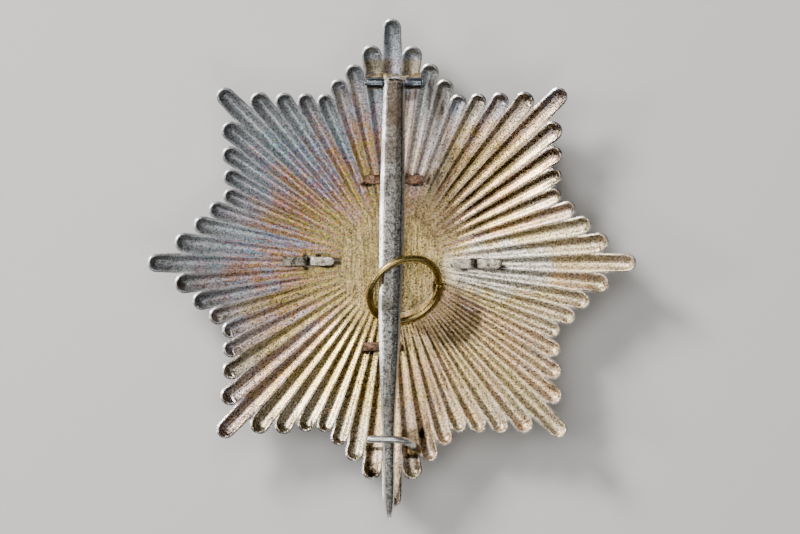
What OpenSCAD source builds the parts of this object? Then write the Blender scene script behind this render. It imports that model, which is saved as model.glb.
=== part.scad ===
// Breast star of struck silver, lying on its front with its back up.
// Origin: centre of the flat front face that it rests on.
// +X is three o'clock, +Y is twelve o'clock, +Z points out of the back.

/* [Star] */
// Distance between opposite main tips
star_d = 85; // [76:1:96]
// Rays in each of the eight points
rays_per_point = 8; // [6:2:10]
// Length by which each main ray stands out of the outline of two squares
main_ray_extra = 0.9; // [0:0.1:2]
// Radius of the plain hub
hub_r = 8.8; // [7:0.1:10]
// Height of the main tips above the hub
dish_h = 6.5; // [5:0.1:8]
// Curve of the dish, 1 is a straight cone
dish_power = 1.2; // [1:0.05:1.6]
// Thickness of the struck sheet
sheet_t = 0.8; // [0.6:0.05:1.1]
// Depth of a ray's hollow as a share of the ray's width
hollow_share = 0.25; // [0.12:0.01:0.28]

/* [Medallion] */
// Diameter of the plain disc on the front
medallion_d = 35; // [33:0.5:40]
// Thickness of the disc
medallion_t = 3; // [2.4:0.1:4]
// Diameter of the flat face that the star rests on
rest_face_d = 29; // [24:0.5:31]
// Width of the sloping edge round the flat face
medallion_slope_w = 1; // [0.5:0.1:1.5]

/* [Prongs] */
// Distance of each split prong in from the medallion's rim
prong_inset = 2.9; // [2.5:0.1:4]
// Distance by which the upper slot lies off the star's axis
slot_shift = 0.25; // [0:0.05:0.35]
// Length of a prong's legs before they were trimmed
leg_l = 5; // [4:0.1:5.4]
// Thickness of a prong's strip
prong_t = 0.65; // [0.5:0.05:0.8]
// Width of a prong's strip
prong_w = 1.6; // [1.2:0.05:1.9]
// Inner radius of a leg's bend
prong_bend_r = 0.35; // [0.2:0.05:0.6]
// Split between the two halves of a prong
prong_split = 0.1; // [0.06:0.01:0.2]
// Free space round a prong in its slot
slot_clear = 0.2; // [0.1:0.05:0.4]
// Space between a leg and the ridges under it
leg_gap = 0.1; // [0.05:0.05:0.3]
// Length of a prong's foot inside the medallion
foot_l = 1.2; // [0.8:0.1:1.6]

/* [Hinge] */
// Distance from the top tip to the hinge rod
hinge_inset = 11.2; // [9.5:0.1:13]
// Place of the hinge's middle to the right of the centre
hinge_x = 0.4; // [-1:0.1:1]
// Length over both tubes
hinge_w = 9.5; // [8.6:0.1:11]
// Outer diameter of each tube
tube_d = 1.95; // [1.7:0.05:2.3]
// Diameter of the rod
rod_d = 0.9; // [0.7:0.05:1.1]
// Free space round the rod in its bores
rod_clear = 0.05; // [0.03:0.01:0.08]
// Diameter of the rod's riveted head
rod_head_d = 1.9; // [1.5:0.1:2.4]
// Thickness of the riveted head
rod_head_t = 0.5; // [0.3:0.1:0.8]
// Length of solder bed behind the tubes
bed_back = 2.2; // [1.6:0.1:2.6]

/* [Pin] */
// Greatest width of the blade
pin_w = 4.36; // [3.8:0.05:4.8]
// Thickness of the blade
pin_t = 1.3; // [1:0.05:1.5]
// Height of the bevels along the blade's edges
bevel_h = 0.6; // [0.3:0.05:0.7]
// Outer diameter of the blade's curled end
knuckle_d = 2.2; // [2:0.05:2.6]
// Side play of the curled end between the tubes
knuckle_play = 0.08; // [0.04:0.01:0.15]
// Length by which the point stands past the bottom tip
pin_past_tip = 2.3; // [1:0.1:5]
// Height of the blade over the bottom tip
pin_over_tip = 0.3; // [0.2:0.05:0.8]

/* [Catch] */
// Distance from the bottom tip to the foot of the hook
catch_inset = 9.9; // [9:0.1:12]
// Distance of the hook's foot to the right of the centre
catch_x = 3.9; // [3.2:0.1:4.6]
// Diameter of the hook's wire
catch_wire_d = 1.25; // [1:0.05:1.4]
// Radius of the hook's bend
catch_bend_r = 2.4; // [1.5:0.1:2.6]
// Length of the hook from its foot to its free end
catch_w = 8.4; // [7.6:0.1:10]
// Lean of the hook towards the hinge, in degrees
catch_lean = 24; // [0:1:30]
// Space between the hook and the blade under it
catch_gap = 0.1; // [0.06:0.01:0.2]

/* [Ring] */
// Outer diameter of the brass ring
ring_d = 14.2; // [13.4:0.1:15]
// Diameter of its wire
ring_wire_d = 1.25; // [1:0.05:1.5]
// Width of the butt joint in the ring
ring_joint_w = 0.12; // [0.08:0.01:0.2]
// Space left where the ring touches the star and the blade
ring_gap = 0.1; // [0.05:0.01:0.2]

/* [Hidden] */

// Space between the medallion and the hub in front of it
seat_gap = 0.05;
// Space between a soldered piece and the ridges that it stands on
solder_gap = 0.05;
// Step from the blade's top up to its curled end
knuckle_step = 0.06;
// Slack that a cut runs past a face
cut_past = 1;

// Heights
tip_r = star_d / 2;
hub_z = medallion_t + seat_gap + sheet_t;
blade_low_z = hub_z + dish_h + pin_over_tip;
blade_top_z = blade_low_z + pin_t;

// Rays: an outline of two squares turned by 45 degrees, cut into equal wedges
ray_count = 8 * rays_per_point;
ray_step = 360 / ray_count;
square_in_r = (tip_r - main_ray_extra) * cos(45);

// Places across half a ray where the sheet has a point, 1 is the ridge to the next ray
RAY_SPOTS = [-1, -0.8, -0.45, 0, 0.45, 0.8];
// Rows of points along a ray: share of the way to the round end, then share of the end
RAY_ROWS = [[0, 0], [0.5, 0], [1, 0], [1, 0.6], [1, 1]];

function point_off(ray) = abs((ray + rays_per_point / 2) % rays_per_point - rays_per_point / 2);
function ray_tip(ray) =
    square_in_r / cos(45 - point_off(ray) * ray_step) + (point_off(ray) == 0 ? main_ray_extra : 0);
function half_width(r) = r * tan(ray_step / 2);

// Radius of the outline at a spot across a ray: a round end, and a notch at the ridge
function edge_r(ray, spot) =
    let (shorter = min(ray_tip(ray), ray_tip(ray + ray_count - 1)), own = ray_tip(ray))
    spot == -1 ? shorter - half_width(shorter)
               : own - half_width(own) * (1 - sqrt(1 - spot * spot));

// Height of the ridges above the hub at a radius
function dish_rise(r) = dish_h * pow(max(0, r - hub_r) / (tip_r - hub_r), dish_power);

// Depth of the hollow, fading in past the hub and closing round the end of the ray
function hollow(r, spot, to_edge) =
    let (fade = min(1, (r - hub_r) / hub_r), open = min(1, to_edge / half_width(r)))
    2 * half_width(r) * hollow_share * fade * (1 - spot * spot) * sqrt(max(0, 1 - pow(1 - open, 2)));

function sheet_point(ray, spot, row) =
    let (edge = edge_r(ray, spot),
         end_l = half_width(edge),
         r = hub_r + (edge - end_l - hub_r) * row[0] + end_l * row[1],
         turn = (ray + spot / 2) * ray_step)
    [r * cos(turn), r * sin(turn), hub_z + dish_rise(r) - hollow(r, spot, edge - r)];

// Height of the ridges above the front face, over a point of the plan
function ridge_z(x, y) = hub_z + dish_rise(norm([x, y]));

// Hinge
hinge_y = tip_r - hinge_inset;
hinge_z = blade_top_z - knuckle_d / 2 + knuckle_step;
// Width of the curled end as a share of the blade's greatest width
KNUCKLE_SHARE = 0.88;
knuckle_w = pin_w * KNUCKLE_SHARE;
// Step from the ends of the tubes in to the ends of their solder bed
bed_step = 0.1;
// Length by which the rod stands out of the left tube
rod_stub = rod_d / 3;

// Pin: columns are share of the length, share of the width, sideways share of the width
// and share of the thickness
pin_len = hinge_y + tip_r + pin_past_tip;
LEFT_BEVEL = 0.24;
RIGHT_BEVEL = 0.14;
BLADE = [
    [0,     0.86,  0,      1],
    [0.23,  0.985, -0.07,  1],
    [0.28,  1,     -0.09,  1],
    [0.43,  0.965, -0.145, 1],
    [0.61,  0.83,  -0.205, 1],
    [0.78,  0.52,  -0.23,  0.95],
    [0.86,  0.455, -0.215, 0.9],
    [0.955, 0.345, -0.2,   0.8],
    [0.989, 0.2,   -0.21,  0.5],
    [1,     0.06,  -0.21,  0.2]
];

// Distance of the prongs from the centre
prong_out = medallion_d / 2 - prong_inset;
// Facets in the bend of a prong's leg
BEND_STEPS = 6;
// Prongs: columns are direction from the centre, share of the shift across it, share of the
// leg's length on the left, its rise in degrees, its square end or not, then the same three
// of the right leg
PRONG_TOP = [90, 1, 0.98, 0, true, 1.06, 1, false];
PRONG_LEFT = [180, 1.2, 0.94, 11, true, 0.9, 0, false];
PRONG_RIGHT = [0, -0.6, 0.88, 0, false, 0.94, 11, false];
PRONG_BOTTOM = [270, 0.4, 1.04, 0, true, 0.3, 0, true];

// Ring: its high side leans on the blade, and its low side lies on the star
ring_wire_r = ring_wire_d / 2;
ring_r = ring_d / 2 - ring_wire_r;
ring_high_dir = 122.6;
ring_joint_turn = -118;
// Turn from the ring's highest point to where it touches the edge of the blade's flat top
ring_touch_turn = 16;
ring_x = 2.2;
ring_y = -4.7;
// Share by which the leaning ring is foreshortened in plan
RING_SHORT = 0.766;
// Half the height of the wire's slanting section, as a share of its radius
WIRE_SLANT = 1.1;
ring_low_x = ring_x - ring_r * RING_SHORT * cos(ring_high_dir);
ring_low_y = ring_y - ring_r * RING_SHORT * sin(ring_high_dir);
ring_low_z = ridge_z(ring_low_x, ring_low_y) + ring_gap + ring_wire_r;
ring_touch_z = blade_top_z + ring_gap + ring_wire_r * WIRE_SLANT;
ring_tilt = asin((ring_touch_z - ring_low_z) / (ring_r * (1 + cos(ring_touch_turn))));
ring_z = ring_low_z + ring_r * sin(ring_tilt);

// The struck sheet: one back skin, one front skin a wall below it, and the edge between
module struck_sheet() {
    spots = len(RAY_SPOTS);
    rows = len(RAY_ROWS);
    columns = ray_count * spots;
    back = [for (ray = [0 : ray_count - 1], spot = RAY_SPOTS, row = RAY_ROWS)
            sheet_point(ray, spot, row)];
    front = [for (p = back) p - [0, 0, sheet_t]];
    skin = columns * rows;
    function at(side, column, row) = side * skin + (column % columns) * rows + row;
    back_faces = [for (c = [0 : columns - 1], r = [0 : rows - 2], half = [0, 1])
        half == 0 ? [at(0, c, r), at(0, c + 1, r), at(0, c + 1, r + 1)]
                  : [at(0, c, r), at(0, c + 1, r + 1), at(0, c, r + 1)]];
    front_faces = [for (c = [0 : columns - 1], r = [0 : rows - 2], half = [0, 1])
        half == 0 ? [at(1, c, r), at(1, c + 1, r + 1), at(1, c + 1, r)]
                  : [at(1, c, r), at(1, c, r + 1), at(1, c + 1, r + 1)]];
    edge_faces = [for (c = [0 : columns - 1], half = [0, 1])
        half == 0 ? [at(0, c, rows - 1), at(0, c + 1, rows - 1), at(1, c + 1, rows - 1)]
                  : [at(0, c, rows - 1), at(1, c + 1, rows - 1), at(1, c, rows - 1)]];
    hub_back = [for (c = [columns - 1 : -1 : 0]) at(0, c, 0)];
    hub_front = [for (c = [0 : columns - 1]) at(1, c, 0)];
    polyhedron(points = concat(back, front),
               faces = concat(back_faces, front_faces, edge_faces, [hub_back, hub_front]));
}

// Places a prong's frame: its slot's middle at the origin, legs along X
module at_prong(row) {
    shift = slot_shift * row[1];
    x = prong_out * cos(row[0]) + (row[0] % 180 == 0 ? 0 : shift);
    y = prong_out * sin(row[0]) + (row[0] % 180 == 0 ? shift : 0);
    translate([x, y, 0]) children();
}

module prong_slot() {
    slot_w = 2 * prong_t + prong_split + 2 * slot_clear;
    slot_l = prong_w + 2 * slot_clear;
    translate([-slot_w / 2, -slot_l / 2, medallion_t + seat_gap / 2])
        cube([slot_w, slot_l, sheet_t + dish_h]);
}

// Two tubes soldered to a block that stands on the ridges
module hinge_tubes() color("gray") {
    bed_front = tube_d / 2;
    bed_side = hinge_w / 2 - bed_step;
    bed_low_in = ridge_z(hinge_x + bed_side, hinge_y - bed_front) + solder_gap;
    bed_low_out = ridge_z(hinge_x + bed_side, hinge_y + bed_back) + solder_gap;
    // The solder thins out behind the tubes and climbs a third of the way round them
    bed_back_h = tube_d / 4;
    bed_top = hinge_z - tube_d / 6;
    difference() {
        union() {
            translate([hinge_x - bed_side, hinge_y, 0])
                rotate([90, 0, 90])
                    linear_extrude(2 * bed_side)
                        polygon([[-bed_front, bed_low_in], [bed_back, bed_low_out],
                                 [bed_back, bed_low_out + bed_back_h],
                                 [bed_front, bed_top], [-bed_front, bed_top]]);
            translate([hinge_x - hinge_w / 2, hinge_y, hinge_z])
                rotate([0, 90, 0]) cylinder(d = tube_d, h = hinge_w, $fn = 48);
        }
        translate([hinge_x - knuckle_w / 2 - knuckle_play, hinge_y - tip_r,
                   hinge_z - knuckle_d / 2 - pin_over_tip])
            cube([knuckle_w + 2 * knuckle_play, star_d, knuckle_d + tip_r]);
        translate([hinge_x - hinge_w, hinge_y, hinge_z])
            rotate([0, 90, 0]) cylinder(d = rod_d + 2 * rod_clear, h = 2 * hinge_w, $fn = 48);
    }
}

// A wire that rises from a soldered foot, bends over and ends free on the left
module catch_hook() color("silver") {
    foot_y = catch_inset - tip_r;
    foot_z = ridge_z(catch_x, foot_y) + solder_gap;
    foot_d = 2 * catch_wire_d;
    foot_h = 0.8 * catch_wire_d;
    foot_lean = atan((ridge_z(catch_x, foot_y - 1) - ridge_z(catch_x, foot_y)));
    arm_z = blade_top_z + catch_gap + catch_wire_d / 2;
    rise = (arm_z - foot_z) / cos(catch_lean);
    translate([catch_x, foot_y, foot_z]) rotate([-foot_lean, 0, 0])
        cylinder(d1 = foot_d, d2 = catch_wire_d, h = foot_h, $fn = 32);
    translate([catch_x, foot_y, foot_z]) rotate([-catch_lean, 0, 0]) {
        translate([0, 0, foot_h / 2])
            cylinder(d = catch_wire_d, h = rise - catch_bend_r - foot_h / 2, $fn = 32);
        translate([-catch_bend_r, 0, rise - catch_bend_r])
            rotate([90, 0, 0]) rotate_extrude(angle = 90, $fn = 48)
                translate([catch_bend_r, 0]) circle(d = catch_wire_d, $fn = 32);
        translate([-catch_bend_r, 0, rise]) rotate([0, -90, 0]) {
            cylinder(d = catch_wire_d, h = catch_w - catch_bend_r - catch_wire_d / 2, $fn = 32);
            translate([0, 0, catch_w - catch_bend_r - catch_wire_d / 2])
                sphere(d = catch_wire_d, $fn = 32);
        }
    }
}

module star_body() color("silver") difference() {
    struck_sheet();
    for (row = [PRONG_TOP, PRONG_LEFT, PRONG_RIGHT, PRONG_BOTTOM]) at_prong(row) prong_slot();
}

module medallion() color("gainsboro") {
    face_r = rest_face_d / 2;
    rim_r = medallion_d / 2;
    rim_low = medallion_t / 2;
    pocket_w = 2 * prong_t + prong_split + 2 * seat_gap;
    pocket_l = prong_w + 2 * seat_gap;
    difference() {
        rotate_extrude($fn = 96)
            polygon([[0, 0], [face_r, 0], [face_r + medallion_slope_w, rim_low / 2],
                     [rim_r, rim_low], [rim_r, medallion_t], [0, medallion_t]]);
        for (row = [PRONG_TOP, PRONG_LEFT, PRONG_RIGHT, PRONG_BOTTOM])
            at_prong(row) translate([-pocket_w / 2, -pocket_l / 2, medallion_t - foot_l - seat_gap])
                cube([pocket_w, pocket_l, foot_l + cut_past]);
    }
}

// Points of an arc about the bend's middle
function bend_arc(r, from_turn, to_turn) =
    [for (k = [0 : BEND_STEPS])
        let (turn = from_turn + (to_turn - from_turn) * k / BEND_STEPS)
        [prong_bend_r + prong_t + r * cos(turn), r * sin(turn)]];

// One half of a prong, its side view: a strip that stands up, bends over and runs out
module prong_side(length, leg_rise, stem_l) {
    outer_r = prong_bend_r + prong_t;
    run = length - outer_r;
    leg_end = [for (r = [prong_bend_r, outer_r])
        [outer_r + run * cos(leg_rise) - r * sin(leg_rise), run * sin(leg_rise) + r * cos(leg_rise)]];
    polygon(concat([[0, -stem_l], [prong_t, -stem_l]],
                   bend_arc(prong_bend_r, 180, 90 + leg_rise), leg_end,
                   bend_arc(outer_r, 90 + leg_rise, 180)));
}

// A strip doubled on itself, with its foot in the medallion and its legs bent apart
module prong(row) color("rosybrown") {
    along_ray = row[0] % 180 == 0;
    leg_far = leg_l * max(row[2], row[5]);
    // Plan point where the level leg, or the start of a rising one, comes nearest to a ridge
    near = along_ray ? [prong_out + 2 * prong_t + prong_bend_r, prong_w / 2]
                     : [leg_far, prong_out + prong_w / 2];
    bend_z = ridge_z(near[0], near[1]) + leg_gap - prong_bend_r;
    stem_l = bend_z - medallion_t + foot_l;
    fold_h = foot_l / 2;
    half_plan = prong_w / 2;
    at_prong(row) translate([0, 0, bend_z]) for (side = [0, 1]) {
        length = leg_l * row[2 + 3 * side];
        rounded = row[4 + 3 * side] == false;
        mirror([1 - side, 0, 0]) translate([prong_split / 2, 0, 0]) intersection() {
            rotate([90, 0, 0]) translate([0, 0, -half_plan]) linear_extrude(prong_w)
                prong_side(length, row[3 + 3 * side], stem_l);
            union() {
                translate([-cut_past, -half_plan, -stem_l - cut_past])
                    cube([length + cut_past - (rounded ? half_plan : -cut_past), prong_w,
                          stem_l + length]);
                if (rounded) translate([length - half_plan, 0, -stem_l - cut_past])
                    cylinder(d = prong_w, h = stem_l + length, $fn = 32);
            }
        }
    }
    // The fold that joins the two halves at the foot
    at_prong(row) translate([-prong_t - prong_split / 2, -half_plan, medallion_t - foot_l])
        cube([2 * prong_t + prong_split, prong_w, fold_h]);
}

module prong_top() prong(PRONG_TOP);
module prong_left() prong(PRONG_LEFT);
module prong_right() prong(PRONG_RIGHT);
module prong_bottom() prong(PRONG_BOTTOM);

module hinge_rod() color("dimgray") {
    rod_l = rod_stub + hinge_w + 2 * rod_clear;
    translate([hinge_x - hinge_w / 2 - rod_stub, hinge_y, hinge_z]) rotate([0, 90, 0]) {
        cylinder(d = rod_d, h = rod_l, $fn = 48);
        translate([0, 0, rod_l])
            cylinder(d1 = rod_head_d, d2 = rod_head_d - rod_head_t, h = rod_head_t, $fn = 48);
    }
}

// One cross section of the blade, six points round
function blade_section(row) =
    let (w = pin_w * row[1], mid = hinge_x + pin_w * row[2], y = hinge_y - pin_len * row[0],
         t = pin_t * row[3], low = blade_low_z + (pin_t - t) / 2, edge = low + t * (1 - bevel_h / pin_t))
    [[mid - w / 2, y, low], [mid + w / 2, y, low], [mid + w / 2, y, edge],
     [mid + w / 2 - RIGHT_BEVEL * w, y, low + t], [mid - w / 2 + LEFT_BEVEL * w, y, low + t],
     [mid - w / 2, y, edge]];

module blade() {
    points = [for (row = BLADE) each blade_section(row)];
    last = 6 * (len(BLADE) - 1);
    sides = [for (s = [0 : len(BLADE) - 2], k = [0 : 5], half = [0, 1])
        let (a = 6 * s + k, b = 6 * s + (k + 1) % 6)
        half == 0 ? [a, b + 6, b] : [a, a + 6, b + 6]];
    start = [for (k = [0 : 5]) k];
    end = [for (k = [5 : -1 : 0]) last + k];
    polyhedron(points = points, faces = concat(sides, [start, end]));
}

module pin_blade() color("lightgray") {
    knuckle_r = knuckle_d / 2;
    difference() {
        union() {
            blade();
            translate([hinge_x, hinge_y, hinge_z]) rotate([0, 90, 0]) rotate_extrude($fn = 64)
                polygon([[0, -knuckle_w / 2], [knuckle_r - bevel_h, -knuckle_w / 2],
                         [knuckle_r, -knuckle_w / 2 + LEFT_BEVEL * knuckle_w],
                         [knuckle_r, knuckle_w / 2 - RIGHT_BEVEL * knuckle_w],
                         [knuckle_r - bevel_h, knuckle_w / 2], [0, knuckle_w / 2]]);
        }
        translate([hinge_x - pin_w, hinge_y, hinge_z])
            rotate([0, 90, 0]) cylinder(d = rod_d + 2 * rod_clear, h = 2 * pin_w, $fn = 48);
    }
}

module brass_ring() color("darkgoldenrod") {
    translate([ring_x, ring_y, ring_z]) rotate([0, 0, ring_high_dir]) rotate([0, -ring_tilt, 0])
        difference() {
            rotate_extrude($fn = 96) translate([ring_r, 0]) circle(d = ring_wire_d, $fn = 32);
            rotate([0, 0, ring_joint_turn]) translate([ring_r, 0, 0])
                cube([2 * ring_wire_d, ring_joint_w, 2 * ring_wire_d], center = true);
        }
}

star_body();
medallion();
prong_top();
prong_left();
prong_right();
prong_bottom();
hinge_tubes();
hinge_rod();
pin_blade();
catch_hook();
brass_ring();
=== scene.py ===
# %% [markdown]
# # A breast star, seen from the back
#
# This lesson dresses a measured model of a silver breast star. The star lies on its front, so we
# see the hollow back of its sixty-four rays, the pin with its hinge and hook, a brass ring and
# four bent prongs. The measured model says where every piece is and how big it is. Here each
# piece gets the shape and the worn finish of old metal, and nothing is moved.

# %% Load the measured model
import math
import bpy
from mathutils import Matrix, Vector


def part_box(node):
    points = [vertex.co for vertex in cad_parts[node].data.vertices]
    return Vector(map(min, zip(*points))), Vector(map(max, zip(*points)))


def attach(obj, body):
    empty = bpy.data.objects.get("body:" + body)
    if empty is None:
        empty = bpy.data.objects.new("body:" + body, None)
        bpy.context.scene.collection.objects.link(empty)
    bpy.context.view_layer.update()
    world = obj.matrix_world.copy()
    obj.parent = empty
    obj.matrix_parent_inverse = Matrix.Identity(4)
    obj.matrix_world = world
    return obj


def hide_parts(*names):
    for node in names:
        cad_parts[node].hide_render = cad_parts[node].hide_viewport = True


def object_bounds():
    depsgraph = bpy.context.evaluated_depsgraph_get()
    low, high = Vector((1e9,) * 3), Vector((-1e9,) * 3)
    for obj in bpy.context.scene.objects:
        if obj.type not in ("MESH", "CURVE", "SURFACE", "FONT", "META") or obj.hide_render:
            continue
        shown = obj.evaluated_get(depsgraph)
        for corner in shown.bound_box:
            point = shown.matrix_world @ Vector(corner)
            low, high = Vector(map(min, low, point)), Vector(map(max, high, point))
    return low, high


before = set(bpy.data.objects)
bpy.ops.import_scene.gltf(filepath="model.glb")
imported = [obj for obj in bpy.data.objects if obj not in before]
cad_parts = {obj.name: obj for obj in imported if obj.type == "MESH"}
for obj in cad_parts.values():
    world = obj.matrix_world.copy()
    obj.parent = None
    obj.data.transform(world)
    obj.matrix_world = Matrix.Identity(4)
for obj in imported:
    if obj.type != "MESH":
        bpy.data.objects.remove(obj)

from types import SimpleNamespace

import bmesh
import bpy
from mathutils import Matrix, Vector, noise

MM = 0.001
# Noise vectors would start from the clock, so they get a seed and are the same in each run
NOISE_SEED = 11
noise.seed_set(NOISE_SEED)
cad_low, cad_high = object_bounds()
print("nodes in the measured model:", ", ".join(sorted(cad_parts)))

# %% [markdown]
# ## The camera and the light
#
# The star was seen from straight above, by a camera far enough away for nearly parallel sight
# lines. The main lamp stands low at the upper left, with a weaker one at the left, so that each
# ray has a dark and a bright side and the lower right of the bowl, which faces them, is bright.
# A wide lamp from above lights the bottoms, one from below the lower rays, and a faint one at the
# right keeps the dark sides open. A table of plain area lamps is easy to judge and to change.

# %% Camera straight above the star
VIEW_W = 139.6 * MM
VIEW_MIDDLE = Vector((1.4 * MM, -0.7 * MM, 0.0))
LENS = 250.0
SENSOR = 36.0

camera_data = bpy.data.cameras.new("camera")
camera_data.lens = LENS
camera_data.sensor_width = SENSOR
camera = bpy.data.objects.new("camera", camera_data)
camera.location = VIEW_MIDDLE + Vector((0, 0, VIEW_W * LENS / SENSOR + cad_high.z / 2))
bpy.context.scene.collection.objects.link(camera)
bpy.context.scene.camera = camera
camera_data.clip_start = 0.01
camera_data.clip_end = 10
print("camera height", round(camera.location.z, 3), "m")


# %% Lamps and sky
WARM = (1.0, 0.99, 0.97)
COOL = (0.98, 0.99, 1.0)
# Name, azimuth and elevation in degrees, distance in metres, width and height, watts, colour
LAMPS = [
    ("key_lamp", 134, 34, 0.8, (0.20, 0.20), 13.6, WARM),
    ("side_lamp", 178, 30, 0.8, (0.16, 0.16), 3.0, COOL),
    ("top_lamp", 128, 75, 0.9, (0.90, 0.44), 6.8, WARM),
    ("low_lamp", 282, 62, 0.9, (0.40, 0.26), 2.8, WARM),
    ("fill_lamp", 335, 38, 0.9, (0.50, 0.30), 0.6, WARM),
]


def lamp(name, azimuth, elevation, distance, size, watts, colour):
    """A soft lamp turned to the star"""
    flat = math.radians(azimuth)
    up = math.radians(elevation)
    place = Vector((math.cos(flat) * math.cos(up), math.sin(flat) * math.cos(up), math.sin(up)))
    data = bpy.data.lights.new(name, "AREA")
    data.shape = "RECTANGLE"
    data.size, data.size_y = size
    data.energy = watts
    data.color = colour
    thing = bpy.data.objects.new(name, data)
    thing.location = place * distance
    thing.rotation_euler = place.to_track_quat("Z", "Y").to_euler()
    bpy.context.scene.collection.objects.link(thing)


for row in LAMPS:
    lamp(*row)
sky = bpy.data.worlds.new("sky")
bpy.context.scene.world = sky
sky.use_nodes = True
sky_light = sky.node_tree.nodes["Background"].inputs
sky_light["Color"].default_value = (0.95, 0.97, 1.0, 1)
sky_light["Strength"].default_value = 0.045
bpy.context.scene.view_settings.look = "AgX - Punchy"

# %% [markdown]
# ## Arithmetic that becomes nodes
#
# Geometry Nodes and shaders both do their sums with Math nodes. Wiring those by hand hides the
# formula, so a small class lets Python's own + - * / build them. A Field stands for a number that
# has its own value on each point of a surface.


# %% Helpers that add nodes
def socket_of(sockets, key):
    """The socket with this identifier, or else with this name"""
    for socket in sockets:
        if socket.identifier == key:
            return socket
    return sockets[key]


def put(tree, socket, value):
    """Links a field or another node's socket, or sets a plain value"""
    if isinstance(value, Field):
        value = value.socket
    if isinstance(value, bpy.types.NodeSocket):
        tree.links.new(value, socket)
    else:
        socket.default_value = value


def add_node(tree, kind, inputs=None, **settings):
    """A new node with its settings and inputs"""
    node = tree.nodes.new(kind)
    for key, value in settings.items():
        setattr(node, key, value)
    for key, value in (inputs or {}).items():
        put(tree, socket_of(node.inputs, key), value)
    return node


def sums(tree, operation, *values):
    """One Math node as a field"""
    node = tree.nodes.new("ShaderNodeMath")
    node.operation = operation
    for socket, value in zip(node.inputs, values):
        put(tree, socket, value)
    return Field(tree, node.outputs[0])


# %% A field and its sums
class Field:
    """A number on every point of a surface"""

    def __init__(self, tree, socket):
        self.tree = tree
        self.socket = socket

    def do(self, operation, *others):
        return sums(self.tree, operation, self, *others)

    def __add__(self, other):
        return self.do("ADD", other)

    __radd__ = __add__

    def __sub__(self, other):
        return self.do("SUBTRACT", other)

    def __rsub__(self, other):
        return sums(self.tree, "SUBTRACT", other, self)

    def __mul__(self, other):
        return self.do("MULTIPLY", other)

    __rmul__ = __mul__

    def __truediv__(self, other):
        return self.do("DIVIDE", other)

    def __pow__(self, power):
        return self.do("POWER", power)

    def at_least(self, other):
        return self.do("MAXIMUM", other)

    def at_most(self, other):
        return self.do("MINIMUM", other)

    def clamp(self):
        return self.at_least(0.0).at_most(1.0)

    def towards(self, other, share):
        """This field where share is 0 and the other where share is 1"""
        return self + (other - self) * share


# %% [markdown]
# ## Running a Geometry Nodes tree
#
# A tree that the script builds has named inputs, as one made by hand would. An input is set by
# its socket's identifier before the object is first evaluated. The result is then made a plain
# mesh, because the finished pieces carry no live modifiers.


# %% Trees with named inputs
def new_tree(name, inputs):
    """A tree with named inputs. Gives the tree, its inputs as fields or sockets, and its output"""
    tree = bpy.data.node_groups.new(name, "GeometryNodeTree")
    tree.interface.new_socket("Geometry", in_out="INPUT", socket_type="NodeSocketGeometry")
    tree.interface.new_socket("Geometry", in_out="OUTPUT", socket_type="NodeSocketGeometry")
    for label, kind in inputs.items():
        tree.interface.new_socket(label, in_out="INPUT", socket_type="NodeSocket" + kind)
    given = tree.nodes.new("NodeGroupInput")
    result = tree.nodes.new("NodeGroupOutput")
    fields = {"Geometry": given.outputs["Geometry"]}
    for label, kind in inputs.items():
        socket = given.outputs[label]
        fields[label] = Field(tree, socket) if kind in ("Float", "Int") else socket
    return tree, fields, result


def finish_tree(tree, result, geometry, material):
    """Ends a tree as the export needs it: real geometry with its material set"""
    real = add_node(tree, "GeometryNodeRealizeInstances", {"Geometry": geometry})
    painted = add_node(
        tree, "GeometryNodeSetMaterial", {"Geometry": real.outputs[0], "Material": material}
    )
    tree.links.new(painted.outputs[0], result.inputs["Geometry"])


# %% Plain meshes from objects and trees
def link(name, data):
    """A new object at the origin that holds this mesh or curve"""
    thing = bpy.data.objects.new(name, data)
    bpy.context.scene.collection.objects.link(thing)
    return thing


def settle(thing):
    """Replaces an object by a plain mesh of what its modifiers made"""
    bpy.context.view_layer.update()
    graph = bpy.context.evaluated_depsgraph_get()
    mesh = bpy.data.meshes.new_from_object(
        thing.evaluated_get(graph), preserve_all_data_layers=True, depsgraph=graph
    )
    name = thing.name
    bpy.data.objects.remove(thing)
    return link(name, mesh)


def run_tree(name, tree, values, data=None):
    """An object made by a tree from its named input values, as a plain mesh"""
    thing = link(name, data or bpy.data.meshes.new(name))
    modifier = thing.modifiers.new("make", "NODES")
    modifier.node_group = tree
    for item in tree.interface.items_tree:
        if item.in_out == "INPUT" and item.name in values:
            modifier[item.identifier] = values[item.name]
    return settle(thing)


def count(thing):
    """Triangles in a mesh object"""
    return sum(len(p.vertices) - 2 for p in thing.data.polygons)


# %% [markdown]
# ## Paint for old metal
#
# No surface of this star has one colour. Each finish starts as polished metal, and then grain,
# pits, toning and wear change its colour, its roughness and, by bump, its light. These helpers
# hold what all the finishes share.


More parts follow.
